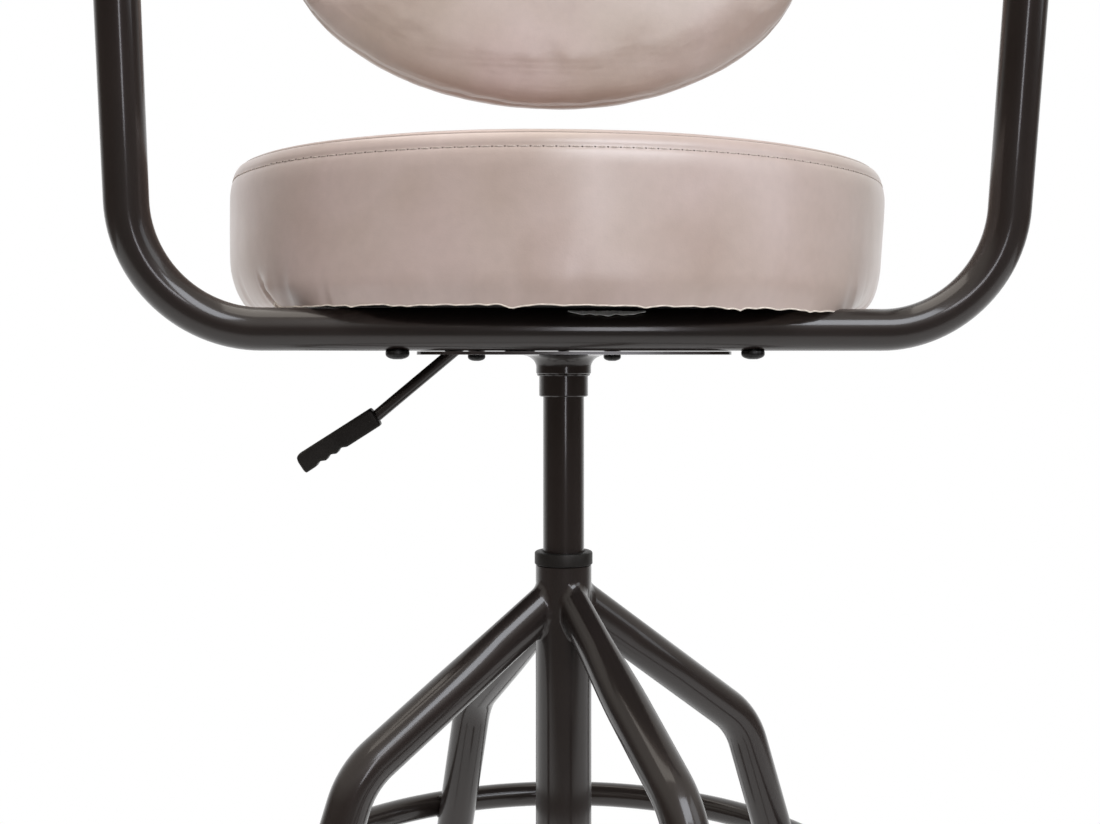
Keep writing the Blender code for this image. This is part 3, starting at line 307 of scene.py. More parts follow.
def sweep_material():
    """A pale floor that keeps the shadow and turns, further out, into a plain white backdrop. In front of the
    stool its colour darkens, a painted shade of a dark room.
    """
    floor = Surface("studio_white", (0.86, 0.86, 0.86), 0.7)
    pale = floor.ramp(floor.texture("Noise", 1.5, 3.0), (0.3, 0.85), (0.7, 0.88))
    place = floor.add("SeparateXYZ", floor.add("TexCoord").outputs["Object"]).outputs
    flat = floor.add("CombineXYZ", place["X"], place["Y"]).outputs[0]
    distance = floor.add("VectorMath", flat, operation="LENGTH").outputs["Value"]
    behind = floor.span(place["Y"], -1.3, -0.4, "SMOOTHSTEP")
    # Painted shade: the floor's colour goes dark in front of the stool, as an unlit room would look.
    painted_room_shade = floor.ramp(behind, (0.0, (0.13, 0.125, 0.12)), (1.0, 1.0))
    floor.links.new(floor.mix(1.0, pale, painted_room_shade, "MULTIPLY"), floor.shader.inputs["Base Color"])
    share = floor.white_share(behind, floor.span(distance, 0.45, 1.0, "SMOOTHSTEP"))
    glow = floor.add("Emission")
    glow.inputs["Color"].default_value = (1, 1, 1, 1)
    glow.inputs["Strength"].default_value = 1.0
    blend = floor.add("MixShader", share, floor.shader.outputs[0], glow.outputs[0])
    floor.links.new(blend.outputs[0], floor.nodes["Material Output"].inputs["Surface"])
    return floor.material


PAINT = paint_material()
SEAT_LEATHER = leather_material("seat_faux_leather", 0.0)
BACK_LEATHER = leather_material("back_faux_leather", 1.3)
PLASTIC = plastic_material()
ZINC = steel_material("zinc_plated_steel", (0.42, 0.42, 0.43), (0.62, 0.62, 0.63), 0.24, 0.38, (1, 1, 12))
BLACKED = steel_material("black_oxide_steel", (0.020, 0.020, 0.020), (0.045, 0.044, 0.043), 0.35, 0.5,
                         (4, 4, 1))
LINING = cloth_material("black_lining", (0.003, 0.003, 0.003), (0.008, 0.008, 0.008), 90.0, 0.05)
GREY_CLOTH = cloth_material("grey_wadding", (0.48, 0.50, 0.49), (0.74, 0.76, 0.75), 120.0, 0.25)
WOOD = plain_material("plywood", (0.6, 0.45, 0.28), 0.65, ("Noise", 30.0, 8.0, (1.0, 9.0, 9.0)),
                      ((0.3, (0.42, 0.29, 0.17)), (0.7, (0.68, 0.52, 0.34))), (0.0003, 0.2))
FOAM = plain_material("open_cell_foam", (0.85, 0.78, 0.55), 0.95, ("Voronoi", 700.0),
                      ((0.1, (0.55, 0.48, 0.30)), (0.5, (0.88, 0.80, 0.58))), (0.0006, 0.5))
THREAD = plain_material("sewing_thread", (0.50, 0.43, 0.38), 0.7, ("Noise", 1800.0, 2.0, (1.0, 1.0, 0.4)),
                        ((0.35, (0.38, 0.31, 0.27)), (0.65, (0.60, 0.52, 0.47))), (0.0001, 0.4))
# Painted shade inside the needle holes and along the seam.
HOLE_SHADE = shade_material("needle_hole_shade", (0.10, 0.075, 0.062))
CREASE = shade_material("seam_shade", (0.30, 0.235, 0.20))
PALE_HEM_LINE = shade_material("pale_hem_edge", (0.88, 0.80, 0.70))

NODE_MATERIALS = {"paint": PAINT, "black_plastic": PLASTIC, "steel": ZINC, "black_screw": BLACKED,
                  "leather": SEAT_LEATHER, "foam": FOAM, "plywood": WOOD, "lining": LINING}


# Geometry helpers

def linked(name, data):
    """A new object in the scene."""
    made = bpy.data.objects.new(name, data)
    bpy.context.scene.collection.objects.link(made)
    return made


def mesh_from(name, bm):
    mesh = bpy.data.meshes.new(name)
    bm.to_mesh(mesh)
    bm.free()
    return mesh


def finished(name, bm, mat, body, sharp_deg=SHARP_DEG):
    """A bmesh as a smooth shaded piece that rides on a body."""
    bmesh.ops.recalc_face_normals(bm, faces=bm.faces)
    mesh = mesh_from(name, bm)
    mesh.shade_smooth()
    mesh.set_sharp_from_angle(angle=radians(sharp_deg))
    mesh.materials.append(mat)
    piece = linked(name, mesh)
    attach(piece, body)
    return piece


def smooth_step(value, low, high):
    t = min(max((value - low) / (high - low), 0.0), 1.0)
    return t * t * (3 - 2 * t)


def angles(count):
    return [2 * pi * i / count for i in range(count)]


def steps_to(end, count, first=0):
    """Even steps from 0 (or from step number first) to end."""
    return [end * i / count for i in range(first, count + 1)]


def skinned(rings):
    """A bmesh with a skin over rings of points."""
    bm = bmesh.new()
    skin_loops(bm, [[bm.verts.new(p) for p in ring] for ring in rings])
    return bm


def skin_loops(bm, loops, closed=False, capped=False):
    """Joins loops of vertices with faces. A loop may be one vertex."""
    pairs = list(zip(loops, loops[1:]))
    if closed:
        pairs.append((loops[-1], loops[0]))
    for lower, upper in pairs:
        count = max(len(lower), len(upper))
        for i in range(count):
            j = (i + 1) % count
            ring = [lower[i % len(lower)], lower[j % len(lower)], upper[j % len(upper)],
                    upper[i % len(upper)]]
            ring = list(dict.fromkeys(ring))
            if len(ring) > 2:
                bm.faces.new(ring)
    if capped:
        bm.faces.new(loops[0])
        bm.faces.new(loops[-1])


def turned_loops(bm, profile, steps):
    """A loop for each (radius, height). A point on the axis becomes one vertex."""
    return [[bm.verts.new((r * cos(a), r * sin(a), z)) for a in (angles(steps) if r > 1e-6 else [0.0])]
            for r, z in profile]


def lathe(name, profile, mat, body, steps=72, place=Matrix()):
    """A turned piece from (radius, height) points, closed unless it starts on the axis."""
    bm = bmesh.new()
    loops = turned_loops(bm, profile, steps)
    skin_loops(bm, loops, closed=len(loops[0]) > 1)
    bmesh.ops.transform(bm, matrix=place, verts=bm.verts)
    return finished(name, bm, mat, body)


def rounded_path(corners, radii, step_deg=3.0, spacing=0.02):
    """Points along straight runs joined by arcs, close together along both."""
    path = [Vector(corners[0])]

    def run_to(point):
        start = path[-1]
        count = max(1, round((point - start).length / spacing))
        path.extend(start.lerp(point, i / count) for i in range(1, count + 1))

    for before, corner, after, radius in zip(corners, corners[1:], corners[2:], radii):
        before, corner, after = Vector(before), Vector(corner), Vector(after)
        run_in, run_out = (corner - before).normalized(), (after - corner).normalized()
        turn = run_in.angle(run_out)
        centre = corner + (run_out - run_in).normalized() * radius / cos(turn / 2)
        start = corner - run_in * radius * tan(turn / 2)
        run_to(start)
        normal = run_in.cross(run_out).normalized()
        steps = max(2, round(turn / radians(step_deg)))
        for i in range(1, steps + 1):
            path.append(centre + Matrix.Rotation(turn * i / steps, 3, normal) @ (start - centre))
    run_to(Vector(corners[-1]))
    return path


def frames_along(path, closed=False):
    count = len(path)
    tangents = []
    for i in range(count):
        ahead = path[(i + 1) % count] if closed or i < count - 1 else path[i]
        behind = path[i - 1] if closed or i > 0 else path[i]
        tangents.append((ahead - behind).normalized())
    side = tangents[0].orthogonal().normalized()
    frames = []
    for i, tangent in enumerate(tangents):
        if i:
            turned = tangents[i - 1].rotation_difference(tangent) @ side
            side = (turned - tangent * turned.dot(tangent)).normalized()
        frames.append((path[i], side.copy(), tangent.cross(side), tangent))
    return frames


def swept(name, path, radius, mat, body, sides=40, closed=False, edge=0.0, shape=None):
    """A round bar along a path. shape(index, angle) scales the radius; edge rounds the ends."""
    bm = bmesh.new()
    loops = []
    frames = frames_along(path, closed)
    if edge and not closed:
        first, last = frames[0], frames[-1]
        frames = ([first, (first[0] + first[3] * edge, *first[1:])] + frames[1:-1]
                  + [(last[0] - last[3] * edge, *last[1:]), last])
    for index, (centre, u, v, _) in enumerate(frames):
        small = edge if index in (0, len(frames) - 1) else 0.0
        loops.append([bm.verts.new(centre + (u * cos(a) + v * sin(a)) * (radius - small)
                                   * (shape(index, a) if shape else 1.0)) for a in angles(sides)])
    skin_loops(bm, loops, closed, capped=not closed)
    return finished(name, bm, mat, body)


def radial(azimuth, r, z):
    return Vector((r * sin(azimuth), -r * cos(azimuth), z))


def along(direction, at):
    turn = Vector((0, 0, 1)).rotation_difference(Vector(direction).normalized())
    return Matrix.Translation(at) @ turn.to_matrix().to_4x4()


def weld(name, path, radius, body, closed=True):
    """A painted weld bead along a path, with the ripples and small lumps of a hand weld."""
    phase = RAND.uniform(0, 9)
    count = len(path)
    ripples = [1.0 + 0.16 * wave(2 * pi * i / count, phase, 2.6) + 0.06 * sin(i * 1.3)
               + RAND.uniform(-0.05, 0.05) for i in range(count + 4)]

    def shape(index, angle):
        return ripples[index] * (1.0 + 0.08 * sin(3 * angle + index))

    return swept(name, path, radius, PAINT, body, sides=10, closed=closed, shape=shape)


def fillet_weld(name, line, along_leg, reach, body):
    """A painted fillet between the column and a leg: hollow, with the lumps of a hand weld."""
    bm = bmesh.new()
    phase = RAND.uniform(0, 9)
    count = len(line)
    middle = sum(line, Vector()) / count
    loops = []
    for i, point in enumerate(line):
        a = 2 * pi * i / count
        outward = Vector((point.x, point.y, 0)).normalized()
        run = (line[(i + 1) % count] - line[i - 1]).normalized()
        away = run.cross(outward).normalized()
        if away.dot(point - middle) < 0:
            away.negate()
        lump = wave(a, phase, 3.2)
        low = reach * (1.0 + 0.22 * lump + 0.10 * wave(a, phase + 2.0, 9.0))
        high = reach * (1.35 + 0.25 * wave(a, phase + 4.0, 3.0) + 0.12 * wave(a, phase + 6.0, 10.0))
        bulge = reach * (0.10 + 0.16 * max(0.0, wave(a, phase + 8.0, 6.0)))
        on_column = point + away * low
        flat = Vector((on_column.x, on_column.y, 0)).normalized() * (COLUMN_R - 0.0001)
        on_column = Vector((flat.x, flat.y, on_column.z))
        on_leg = point + along_leg * high
        control = point + (away + along_leg).normalized() * bulge
        ring = [on_column * (1 - t) ** 2 + control * (2 * t * (1 - t)) + on_leg * t * t
                for t in steps_to(1.0, 6)]
        ring.append(point - outward * 0.0012 - (away + along_leg) * 0.0008)
        loops.append([bm.verts.new(p) for p in ring])
    skin_loops(bm, loops, closed=True)
    return finished(name, bm, PAINT, body, 60.0)


# Column, legs and ring

def leg_azimuth(index):
    return LEG_TURN + index * pi / 2


def leg_path(azimuth):
    drop = (LEG_JOINT_Z - LEG_KNEE_Z) / (LEG_KNEE_R - COLUMN_R)
    root = COLUMN_R * 0.75
    foot_r = LEG_KNEE_R + (LEG_KNEE_Z - LEG_END_Z) * LEG_LEAN
    corners = [radial(azimuth, root, LEG_JOINT_Z + (COLUMN_R - root) * drop),
               radial(azimuth, LEG_KNEE_R, LEG_KNEE_Z), radial(azimuth, foot_r, LEG_END_Z)]
    return rounded_path(corners, [LEG_BEND_R], spacing=0.008)


def coped_leg(name, azimuth):
    """A leg pressed narrow at its root, which follows the column's wall; also the loop where they meet."""
    bm = bmesh.new()
    across = Vector((cos(azimuth), sin(azimuth), 0))
    frames = frames_along(leg_path(azimuth))
    loops = []
    direction = frames[0][3]
    flat = Vector((direction.x, direction.y, 0))
    for index, (centre, u, v, _) in enumerate(frames):
        ring = []
        pressed = LEG_PRESSED * (1 - smooth_step(hypot(centre.x, centre.y), 0.026, 0.090))
        for a in angles(72):
            offset = (u * cos(a) + v * sin(a)) * LEG_R
            point = centre + offset - across * offset.dot(across) * pressed
            if index == 0:
                here = Vector((point.x, point.y, 0))
                b, c = here.dot(flat), here.dot(here) - (COLUMN_R - 0.0004) ** 2
                reach = (-b + sqrt(max(b * b - flat.dot(flat) * c, 0.0))) / flat.dot(flat)
                point = point + direction * reach
            ring.append(bm.verts.new(point))
        loops.append(ring)
    meeting = [v.co.copy() for v in loops[0]]
    loops = [loops[0]] + [ring for (centre, *_), ring in zip(frames[1:], loops[1:])
                          if hypot(centre.x, centre.y) > COLUMN_R + LEG_R * 1.6]
    kept = {v for ring in loops for v in ring}
    bmesh.ops.delete(bm, geom=[v for v in bm.verts if v not in kept], context="VERTS")
    skin_loops(bm, loops, capped=True)
    return finished(name, bm, PAINT, "base"), meeting, direction


def build_base():
    edge = 0.0006
    column = lathe("column", [(COLUMN_BORE_R, COLUMN_BOTTOM_Z), (COLUMN_R - edge, COLUMN_BOTTOM_Z),
                              (COLUMN_R, COLUMN_BOTTOM_Z + edge), (COLUMN_R, COLUMN_TOP_Z - edge),
                              (COLUMN_R - edge, COLUMN_TOP_Z), (COLUMN_BORE_R, COLUMN_TOP_Z)],
                   PAINT, "base")
    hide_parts("column_tube")
    low = COLUMN_TOP_Z + GAP
    bore = CYLINDER_R + 0.0003
    bushing = lathe("guide_bushing", [
        (bore, low - 0.070), (COLUMN_BORE_R - GAP, low - 0.070), (COLUMN_BORE_R - GAP, low),
        (BUSHING_FLANGE_R - 0.0004, low), (BUSHING_FLANGE_R, low + 0.0004),
        (BUSHING_FLANGE_R, BUSHING_TOP_Z - 0.0012), (BUSHING_FLANGE_R - 0.0004, BUSHING_TOP_Z - 0.0004),
        (BUSHING_FLANGE_R - 0.0012, BUSHING_TOP_Z), (bore + 0.0010, BUSHING_TOP_Z),
        (bore, BUSHING_TOP_Z - 0.0010)], PLASTIC, "base")
    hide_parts("column_bushing")
    for index, side in enumerate(("front", "right", "back", "left")):
        azimuth = leg_azimuth(index)
        leg, meeting, direction = coped_leg("leg_tube_" + side, azimuth)
        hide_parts("leg_" + side)
        fillet_weld("leg_weld_" + side, meeting, direction, LEG_WELD, "base")
        centre = radial(azimuth, RING_R, RING_Z)
        across = Vector((cos(azimuth), sin(azimuth), 0))
        for sign, end in ((-1, "low"), (1, "high")):
            line = [centre + across * (0.0085 * t) + radial(azimuth, -RING_TUBE_R * 0.62 - 0.0018 * t * t, 0)
                    + Vector((0, 0, sign * (RING_TUBE_R * 0.74 + 0.0004 * t * t)))
                    for t in (step - 1 for step in steps_to(2.0, 8))]
            weld("ring_weld_%s_%s" % (side, end), line, 0.0016, "base", closed=False)
    path = [radial(a, RING_R, RING_Z) for a in angles(180)]
    ring = swept("foot_rest_ring", path, RING_TUBE_R, PAINT, "base", sides=28, closed=True)
    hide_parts("foot_ring")


# Gas lift, collar and neck

def build_lift():
    edge = 0.0010
    low = CYLINDER_TOP_Z - CYLINDER_LENGTH
    sleeve = lathe("gas_lift_sleeve", [
        (0.0127, low), (CYLINDER_R - 0.0004, low), (CYLINDER_R, low + 0.0004),
        (CYLINDER_R, CYLINDER_TOP_Z - edge),
        (CYLINDER_R - edge, CYLINDER_TOP_Z), (0.0045, CYLINDER_TOP_Z),
        (0.0045, CYLINDER_TOP_Z - 0.014), (0.0127, CYLINDER_TOP_Z - 0.014)],
        PAINT, "seat_unit")
    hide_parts("gas_cylinder")
    collar = lathe("socket_collar", [
        (0.0143, SOCKET_BOTTOM_Z), (SOCKET_R - 0.0007, SOCKET_BOTTOM_Z), (SOCKET_R, SOCKET_BOTTOM_Z + 0.0007),
        (SOCKET_R, PLATE_TOP_Z - 0.0006), (SOCKET_R - 0.0006, PLATE_TOP_Z), (0.0143, PLATE_TOP_Z)],
        PAINT, "seat_unit")
    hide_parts("socket_tube")
    flare_low = NECK_BOTTOM_Z + NECK_STRAIGHT_H
    top = PLATE_TOP_Z - PLATE_T - GAP
    flare = NECK_TOP_R - NECK_BOTTOM_R
    curve = [(NECK_BOTTOM_R + flare * (1 - cos(a)), flare_low + (top - flare_low) * sin(a))
             for a in steps_to(pi / 2, 14)]
    neck = lathe("flared_neck", [(0.0170, NECK_BOTTOM_Z), (NECK_BOTTOM_R - 0.0006, NECK_BOTTOM_Z),
                                 (NECK_BOTTOM_R, NECK_BOTTOM_Z + 0.0006)] + curve + [(0.0170, top)],
                 PAINT, "seat_unit")
    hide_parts("socket_neck")
    weld_r = SOCKET_R + 0.0004
    circle = [Vector((cos(a) * weld_r, sin(a) * weld_r, NECK_BOTTOM_Z - 0.0005)) for a in angles(90)]
    weld("neck_weld", circle, 0.0009, "seat_unit")


# Arm tube and hoop

def build_arms():
    corner_y = ARM_FRONT_Y - (ARM_REST_Z - ARM_TUBE_Z) * ARM_LEAN
    side = [(ARM_HALF, ARM_JOINT_Y - GAP / 2, ARM_REST_Z), (ARM_HALF, corner_y, ARM_REST_Z),
            (ARM_HALF, ARM_FRONT_Y, ARM_TUBE_Z)]
    mirrored = [(-x, y, z) for x, y, z in reversed(side)]
    path = rounded_path(side + mirrored, [ARM_TOP_BEND_R, ARM_LOW_BEND_R, ARM_LOW_BEND_R, ARM_TOP_BEND_R])
    arms = swept("arm_tube", path, ARM_TUBE_R, PAINT, "seat_unit", sides=48, edge=0.0003)
    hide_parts("arm_frame")
    joint_y = ARM_JOINT_Y + GAP / 2
    path = rounded_path([(ARM_HALF, joint_y, ARM_REST_Z), (ARM_HALF, HOOP_Y, ARM_REST_Z),
                         (-ARM_HALF, HOOP_Y, ARM_REST_Z), (-ARM_HALF, joint_y, ARM_REST_Z)],
                        [HOOP_BEND_R, HOOP_BEND_R])
    hoop = swept("hoop_tube", path, ARM_TUBE_R, PAINT, "seat_unit", sides=48, edge=0.0003)
    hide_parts("back_hoop")


# Screws

def button_screw(name, place, length, node):
    """A button-head screw with a hex socket, its head below Z = 0 and its shank above."""
    head_r, head_h, rim = 0.0072, 0.0048, 0.0016
    bm = bmesh.new()
    steps = 36
    profile = [(head_r - 0.0006, 0.0004), (head_r - 0.0002, 0.0002), (head_r, -0.0003)]
    profile += [(head_r * cos(a) ** 0.8, -rim - (head_h - rim) * sin(a)) for a in steps_to(pi / 2, 10)[:-1]]
    profile = [p for p in profile if p[0] > HEX_RIM_R]
    shank = [(0.0, length), (SHANK_R - 0.0006, length), (SHANK_R, length - 0.0008), (SHANK_R, 0.0)]
    loops = turned_loops(bm, shank + profile, steps)

    def hex_loop(scale, z):
        ring = []
        for a in angles(steps):
            wedge = (a + pi / 6) % (pi / 3) - pi / 6
            r = HEX_HALF / cos(wedge) * scale
            ring.append(bm.verts.new((r * cos(a), r * sin(a), z)))
        return ring

    loops += [hex_loop(1.06, -head_h), hex_loop(1.0, -head_h + 0.0002), hex_loop(1.0, -head_h * 0.42),
              [bm.verts.new((0, 0, -head_h * 0.36))]]
    skin_loops(bm, loops)
    bmesh.ops.transform(bm, matrix=place, verts=bm.verts)
    screw = finished(name, bm, BLACKED, "seat_unit")
    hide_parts(node)


def back_frame():
    """The pad's own frame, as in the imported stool: its origin on the hoop, Z towards the sitter, Y up."""
    normal = Vector((0, -cos(BACK_TILT), sin(BACK_TILT)))
    up = Vector((0, sin(BACK_TILT), cos(BACK_TILT)))
    turn = Matrix((up.cross(normal), up, normal)).transposed().to_4x4()
    return Matrix.Translation((0, HOOP_Y, ARM_REST_Z)) @ turn


def build_screws():
    for sign, side in ((-1, "left"), (1, "right")):
        for row, x, y, seat in (("front", FRONT_SCREW_X, ARM_FRONT_Y, ARM_TUBE_Z - ARM_TUBE_R),
                                ("rear", REAR_SCREW_X, REAR_SCREW_Y, PLATE_TOP_Z - PLATE_T)):
            node = "bolt_%s_%s" % (row, side)
            _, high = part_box(node)
            at = Vector((sign * x, y, seat - GAP))
            button_screw("screw_%s_%s" % (row, side), Matrix.Translation(at), high.z - at.z, node)
        at = back_frame() @ Matrix.Translation((sign * BACK_SCREW_X, 0, -ARM_TUBE_R - GAP))
        button_screw("back_screw_" + side, at, BACK_SCREW_LENGTH, "back_bolt_" + side)


# Lever

def build_lever():
    mouth = Vector((PADDLE_X, 0, LEVER_Z - (LEVER_BEND_X - PADDLE_X) * tan(LEVER_DROP)))
    direction = Vector((-cos(PADDLE_SLOPE), 0, -sin(PADDLE_SLOPE)))
    path = rounded_path([(LEVER_INNER_X, 0, LEVER_Z), (LEVER_BEND_X, 0, LEVER_Z), mouth,
                         mouth + direction * PADDLE_ROD_DEPTH], [LEVER_BEND_R, LEVER_BEND_R], 4.0, 0.006)
    rod = swept("release_rod", path, LEVER_R, PAINT, "lever", sides=24, edge=0.0005)
    pivot = (LEVER_PIVOT_X, 0, LEVER_Z)
    lathe("release_hub", [(0.0029, -0.005), (0.0053, -0.005), (0.0057, -0.0046), (0.0057, 0.0046),
                          (0.0053, 0.005), (0.0029, 0.005)], PAINT, "lever", 32,
          along((0, 1, 0), pivot))
    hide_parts("lever_rod")
    paddle = build_paddle(mouth, direction)
    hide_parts("lever_paddle")


def build_paddle(mouth, direction):
    """A moulded paddle: flat sides, three finger notches below, a blunt end rounded at the top."""
    half, length = PADDLE_HEIGHT / 2, PADDLE_LENGTH
    grip_start, grip_end, notches = length * 0.45, length * 0.87, 3
    nose_r, nose_h, end_r, tip_r = 0.0055, 0.0035, 0.0016, 0.0014

    def drop(r, past):
        """How far a rounding of radius r has come down, that far past its start."""
        return r - sqrt(max(0.0, r ** 2 - past ** 2))

    def under(x):
        low = -half
        if grip_start < x < grip_end:
            t = (x - grip_start) / (grip_end - grip_start)
            low += 0.0015 * ((1 - cos(2 * pi * notches * t)) / 2) ** 0.75
        if x > length - end_r:
            low += drop(tip_r, x - length + tip_r)
        return low

    def over(x):
        return half - nose_h * drop(1.0, max(0.0, (x - length + nose_r) / nose_r))

    stations = [0.0, 0.0004, 0.0011, 0.0020] + [0.004 + x for x in steps_to(length - 0.0095, 56)]
    stations += [length - nose_r * cos(a) for a in steps_to(pi / 2, 12, 1)]
    bm = bmesh.new()
    up = Vector((-direction.z, 0, direction.x))
    if up.z < 0:
        up.negate()
    across = Vector((0, 1, 0))
    loops = []
    for x in stations:
        entry = drop(end_r, max(0.0, end_r - x))
        wide = PADDLE_WIDTH / 2 - entry - end_r * drop(1.0, max(0.0, (x - length + end_r) / end_r))
        low, high = under(x) + entry, over(x) - entry
        r = min(0.0022, wide * 0.95, (high - low) * 0.47)
        ring = []
        for sx, sy, start in ((1, 1, 0.0), (-1, 1, pi / 2), (-1, -1, pi), (1, -1, 3 * pi / 2)):
            centre = Vector((sx * (wide - r), high - r if sy > 0 else low + r))
            ring += [bm.verts.new(mouth + direction * x + across * (centre.x + r * cos(start + a))
                                  + up * (centre.y + r * sin(start + a))) for a in steps_to(pi / 2, 5)]
        loops.append(ring)
    skin_loops(bm, loops, capped=True)
    return finished("release_paddle", bm, PLASTIC, "lever", 40.0)


# Cushions

def wave(angle, seed, lobes):
    """A smooth wave round a circle, from -1 to 1, that repeats after a full turn."""
    at = Vector((cos(angle) * lobes, sin(angle) * lobes, seed * 7.3))
    return noise.noise(at) * 1.8


def swelling(name, rings, pinned, cap):
    """How a cushion of the given rings swells: cloth pressure on a remeshed copy, as (start, shift) pairs."""
    bm = skinned(rings)
    bmesh.ops.remove_doubles(bm, verts=bm.verts, dist=1e-5)
    bmesh.ops.recalc_face_normals(bm, faces=bm.faces)
    pad = linked(name, mesh_from(name, bm))
    bpy.context.view_layer.objects.active = pad
    remesh = pad.modifiers.new("voxels", "REMESH")
    remesh.mode = "VOXEL"
    remesh.voxel_size = CLOTH_VOXEL
    bpy.ops.object.modifier_apply(modifier="voxels")
    start = [v.co.copy() for v in pad.data.vertices]
    group = pad.vertex_groups.new(name="held")
    for vertex in pad.data.vertices:
        hold = pinned(vertex.co)
        if hold > 0:
            group.add([vertex.index], hold, "REPLACE")
    cloth = pad.modifiers.new("cloth", "CLOTH")
    for key, value in CLOTH_SETTINGS.items():
        setattr(cloth.settings, key, value)
    cloth.settings.effector_weights.gravity = 0.0
    cloth.collision_settings.use_collision = False
    for step in range(1, CLOTH_STEPS + 1):
        bpy.context.scene.frame_set(step)
    solved = pad.evaluated_get(bpy.context.evaluated_depsgraph_get())
    shifts = [vertex.co - before for before, vertex in zip(start, solved.data.vertices)]
    shifts = [shift.normalized() * cap if shift.length > cap else shift for shift in shifts]
    bpy.context.scene.frame_set(1)
    bpy.data.objects.remove(pad, do_unlink=True)
    return start, shifts


def swollen(points, field):
    """Moves points by the mean shift of the nearest solved points."""
    start, shifts = field
    tree = KDTree(len(start))
    for index, point in enumerate(start):
        tree.insert(point, index)
    tree.balance()
    moved = []
    for point in points:
        total, weight = Vector(), 0.0
        for _, index, distance in tree.find_n(point, 8):
            w = 1.0 / (distance + 0.002)
            total += shifts[index] * w
            weight += w
        moved.append(point + total / weight)
    return moved


def cushion_rings(semi_x, semi_y, profile, steps, ripple):
    """Rings of points. profile has (scale, inset, height); ripple(index, angle) gives (outward, up)."""
    rings = []
    for index, (scale, inset, height) in enumerate(profile):
        if scale == 0.0:
            rings.append([Vector((0, 0, height))])
            continue
        ring = []
        for a in angles(steps):
            out, up = ripple(index, a)
            normal = Vector((cos(a) / semi_x, sin(a) / semi_y, 0)).normalized()
            ring.append(Vector((scale * (semi_x - inset) * cos(a), scale * (semi_y - inset) * sin(a), height))
                        + normal * out + Vector((0, 0, up)))
        rings.append(ring)
    return rings


def stitch_line(name, surface, centre_line, pitch, share, radius, place):
    """Thread laid along a line on a surface, with a needle hole between each two stitches; each hole is a
    small dark plug of painted shade.
    """
    threads, hole_shades = bmesh.new(), bmesh.new()
    lengths = [0.0]
    for a, b in zip(centre_line, centre_line[1:] + centre_line[:1]):
        lengths.append(lengths[-1] + (b - a).length)
    count = round(lengths[-1] / pitch)

    def on_surface(distance):
        """The surface's point and normal next to the line, that far along it."""
        distance %= lengths[-1]
        low = bisect_right(lengths, distance) - 1
        ahead = centre_line[(low + 1) % len(centre_line)]
        share_of_step = (distance - lengths[low]) / (lengths[low + 1] - lengths[low])
        return surface.find_nearest(centre_line[low].lerp(ahead, share_of_step))[:2]

    step = lengths[-1] / count
    for k in range(count):
        start = k * step
        points = []
        for t in steps_to(1.0, 4):
            found, normal = on_surface(start + step * (0.5 - share / 2 + share * t))
            lift = radius * (0.75 * sin(pi * t) - 0.35)
            points.append((found + normal * lift, normal))
        loops = []
        for index, (point, normal) in enumerate(points):
            ahead = points[min(index + 1, 4)][0] - points[max(index - 1, 0)][0]
            side = normal.cross(ahead).normalized()
            up = ahead.cross(side).normalized()
            r = radius * (0.55 if index in (0, 4) else 1.0)
            loops.append([threads.verts.new(point + side * r * cos(a) + up * r * sin(a)) for a in angles(6)])
        skin_loops(threads, loops, capped=True)
        # The needle hole: a small dark plug, its colour painted shade for the hole's depth.
        found, normal = on_surface(start)
        side = normal.orthogonal().normalized()
        up = normal.cross(side)
        size = radius * 1.25
        ring = [hole_shades.verts.new(found + normal * 0.00006 + (side * cos(a) + up * sin(a)) * size)
                for a in angles(8)]
        under = [hole_shades.verts.new(v.co - normal * 0.0005) for v in ring]
        skin_loops(hole_shades, [ring, under], capped=True)
    for bm in (threads, hole_shades):
        bmesh.ops.transform(bm, matrix=place, verts=bm.verts)
    finished(name + "_thread", threads, THREAD, "seat_unit")
    finished(name + "_hole_shades", hole_shades, HOLE_SHADE, "seat_unit")


def build_cushion(name, size, profile, place, ripple, groove, mat, nodes, cap, pinned):
    """A sewn cushion: rings swollen by cloth pressure, then seams pressed in, made into one closed piece."""
    semi_x, semi_y, steps = size
    rings = cushion_rings(semi_x, semi_y, profile, steps, ripple)
    coarse = cushion_rings(semi_x - 0.0012, semi_y - 0.0012, profile, 64, ripple)
    field = swelling(name + "_solve", coarse, pinned, cap)
    rings = [swollen(ring, field) for ring in rings]
    for index, ring in enumerate(rings):
        for i, point in enumerate(ring):
            ring[i] = point + groove(index, point)
    bm = skinned(rings)
    bmesh.ops.recalc_face_normals(bm, faces=bm.faces)
    surface = BVHTree.FromBMesh(bm)
    bmesh.ops.transform(bm, matrix=place, verts=bm.verts)
    piece = finished(name, bm, mat, "seat_unit", 70.0)
    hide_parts(*nodes)
    return rings, surface


def seat_profile():
    """(scale, inset, height) from the middle of the underside round the corner, up the side and over."""
    points = [(0.0, 0.0, 0.0016), (1.0, 0.0305, 0.0016), (1.0, 0.0215, 0.0012)]
    base_inset, corner_h = 0.0135, 0.032
    points += [(1.0, base_inset * (1 - sin(a)), corner_h * (1 - cos(a))) for a in steps_to(pi / 2, 10)]
    points += [(1.0, 0.0, corner_h + up) for up in steps_to(SEAT_ROLL_H - corner_h, 14, 1)]
    roll_reach, roll_rise = 0.012, 0.024
    last = asin((SEAT_SEAM_H - SEAT_ROLL_H) / roll_rise)
    points += [(1.0, roll_reach * (1 - cos(a)), SEAT_ROLL_H + roll_rise * sin(a))
               for a in steps_to(last, 16, 1)]
    rings = 40
    for i in range(1, rings + 1):
        r = SEAT_SEAM_R * cos(pi / 2 * i / rings) ** 0.8
        rise = 0.0014 * (1 - exp((r - SEAT_SEAM_R) / 0.006)) + 0.016 * (1 - (r / SEAT_SEAM_R) ** 2)
        points.append((r / SEAT_R if i < rings else 0.0, 0.0, SEAT_SEAM_H + rise))
    return points


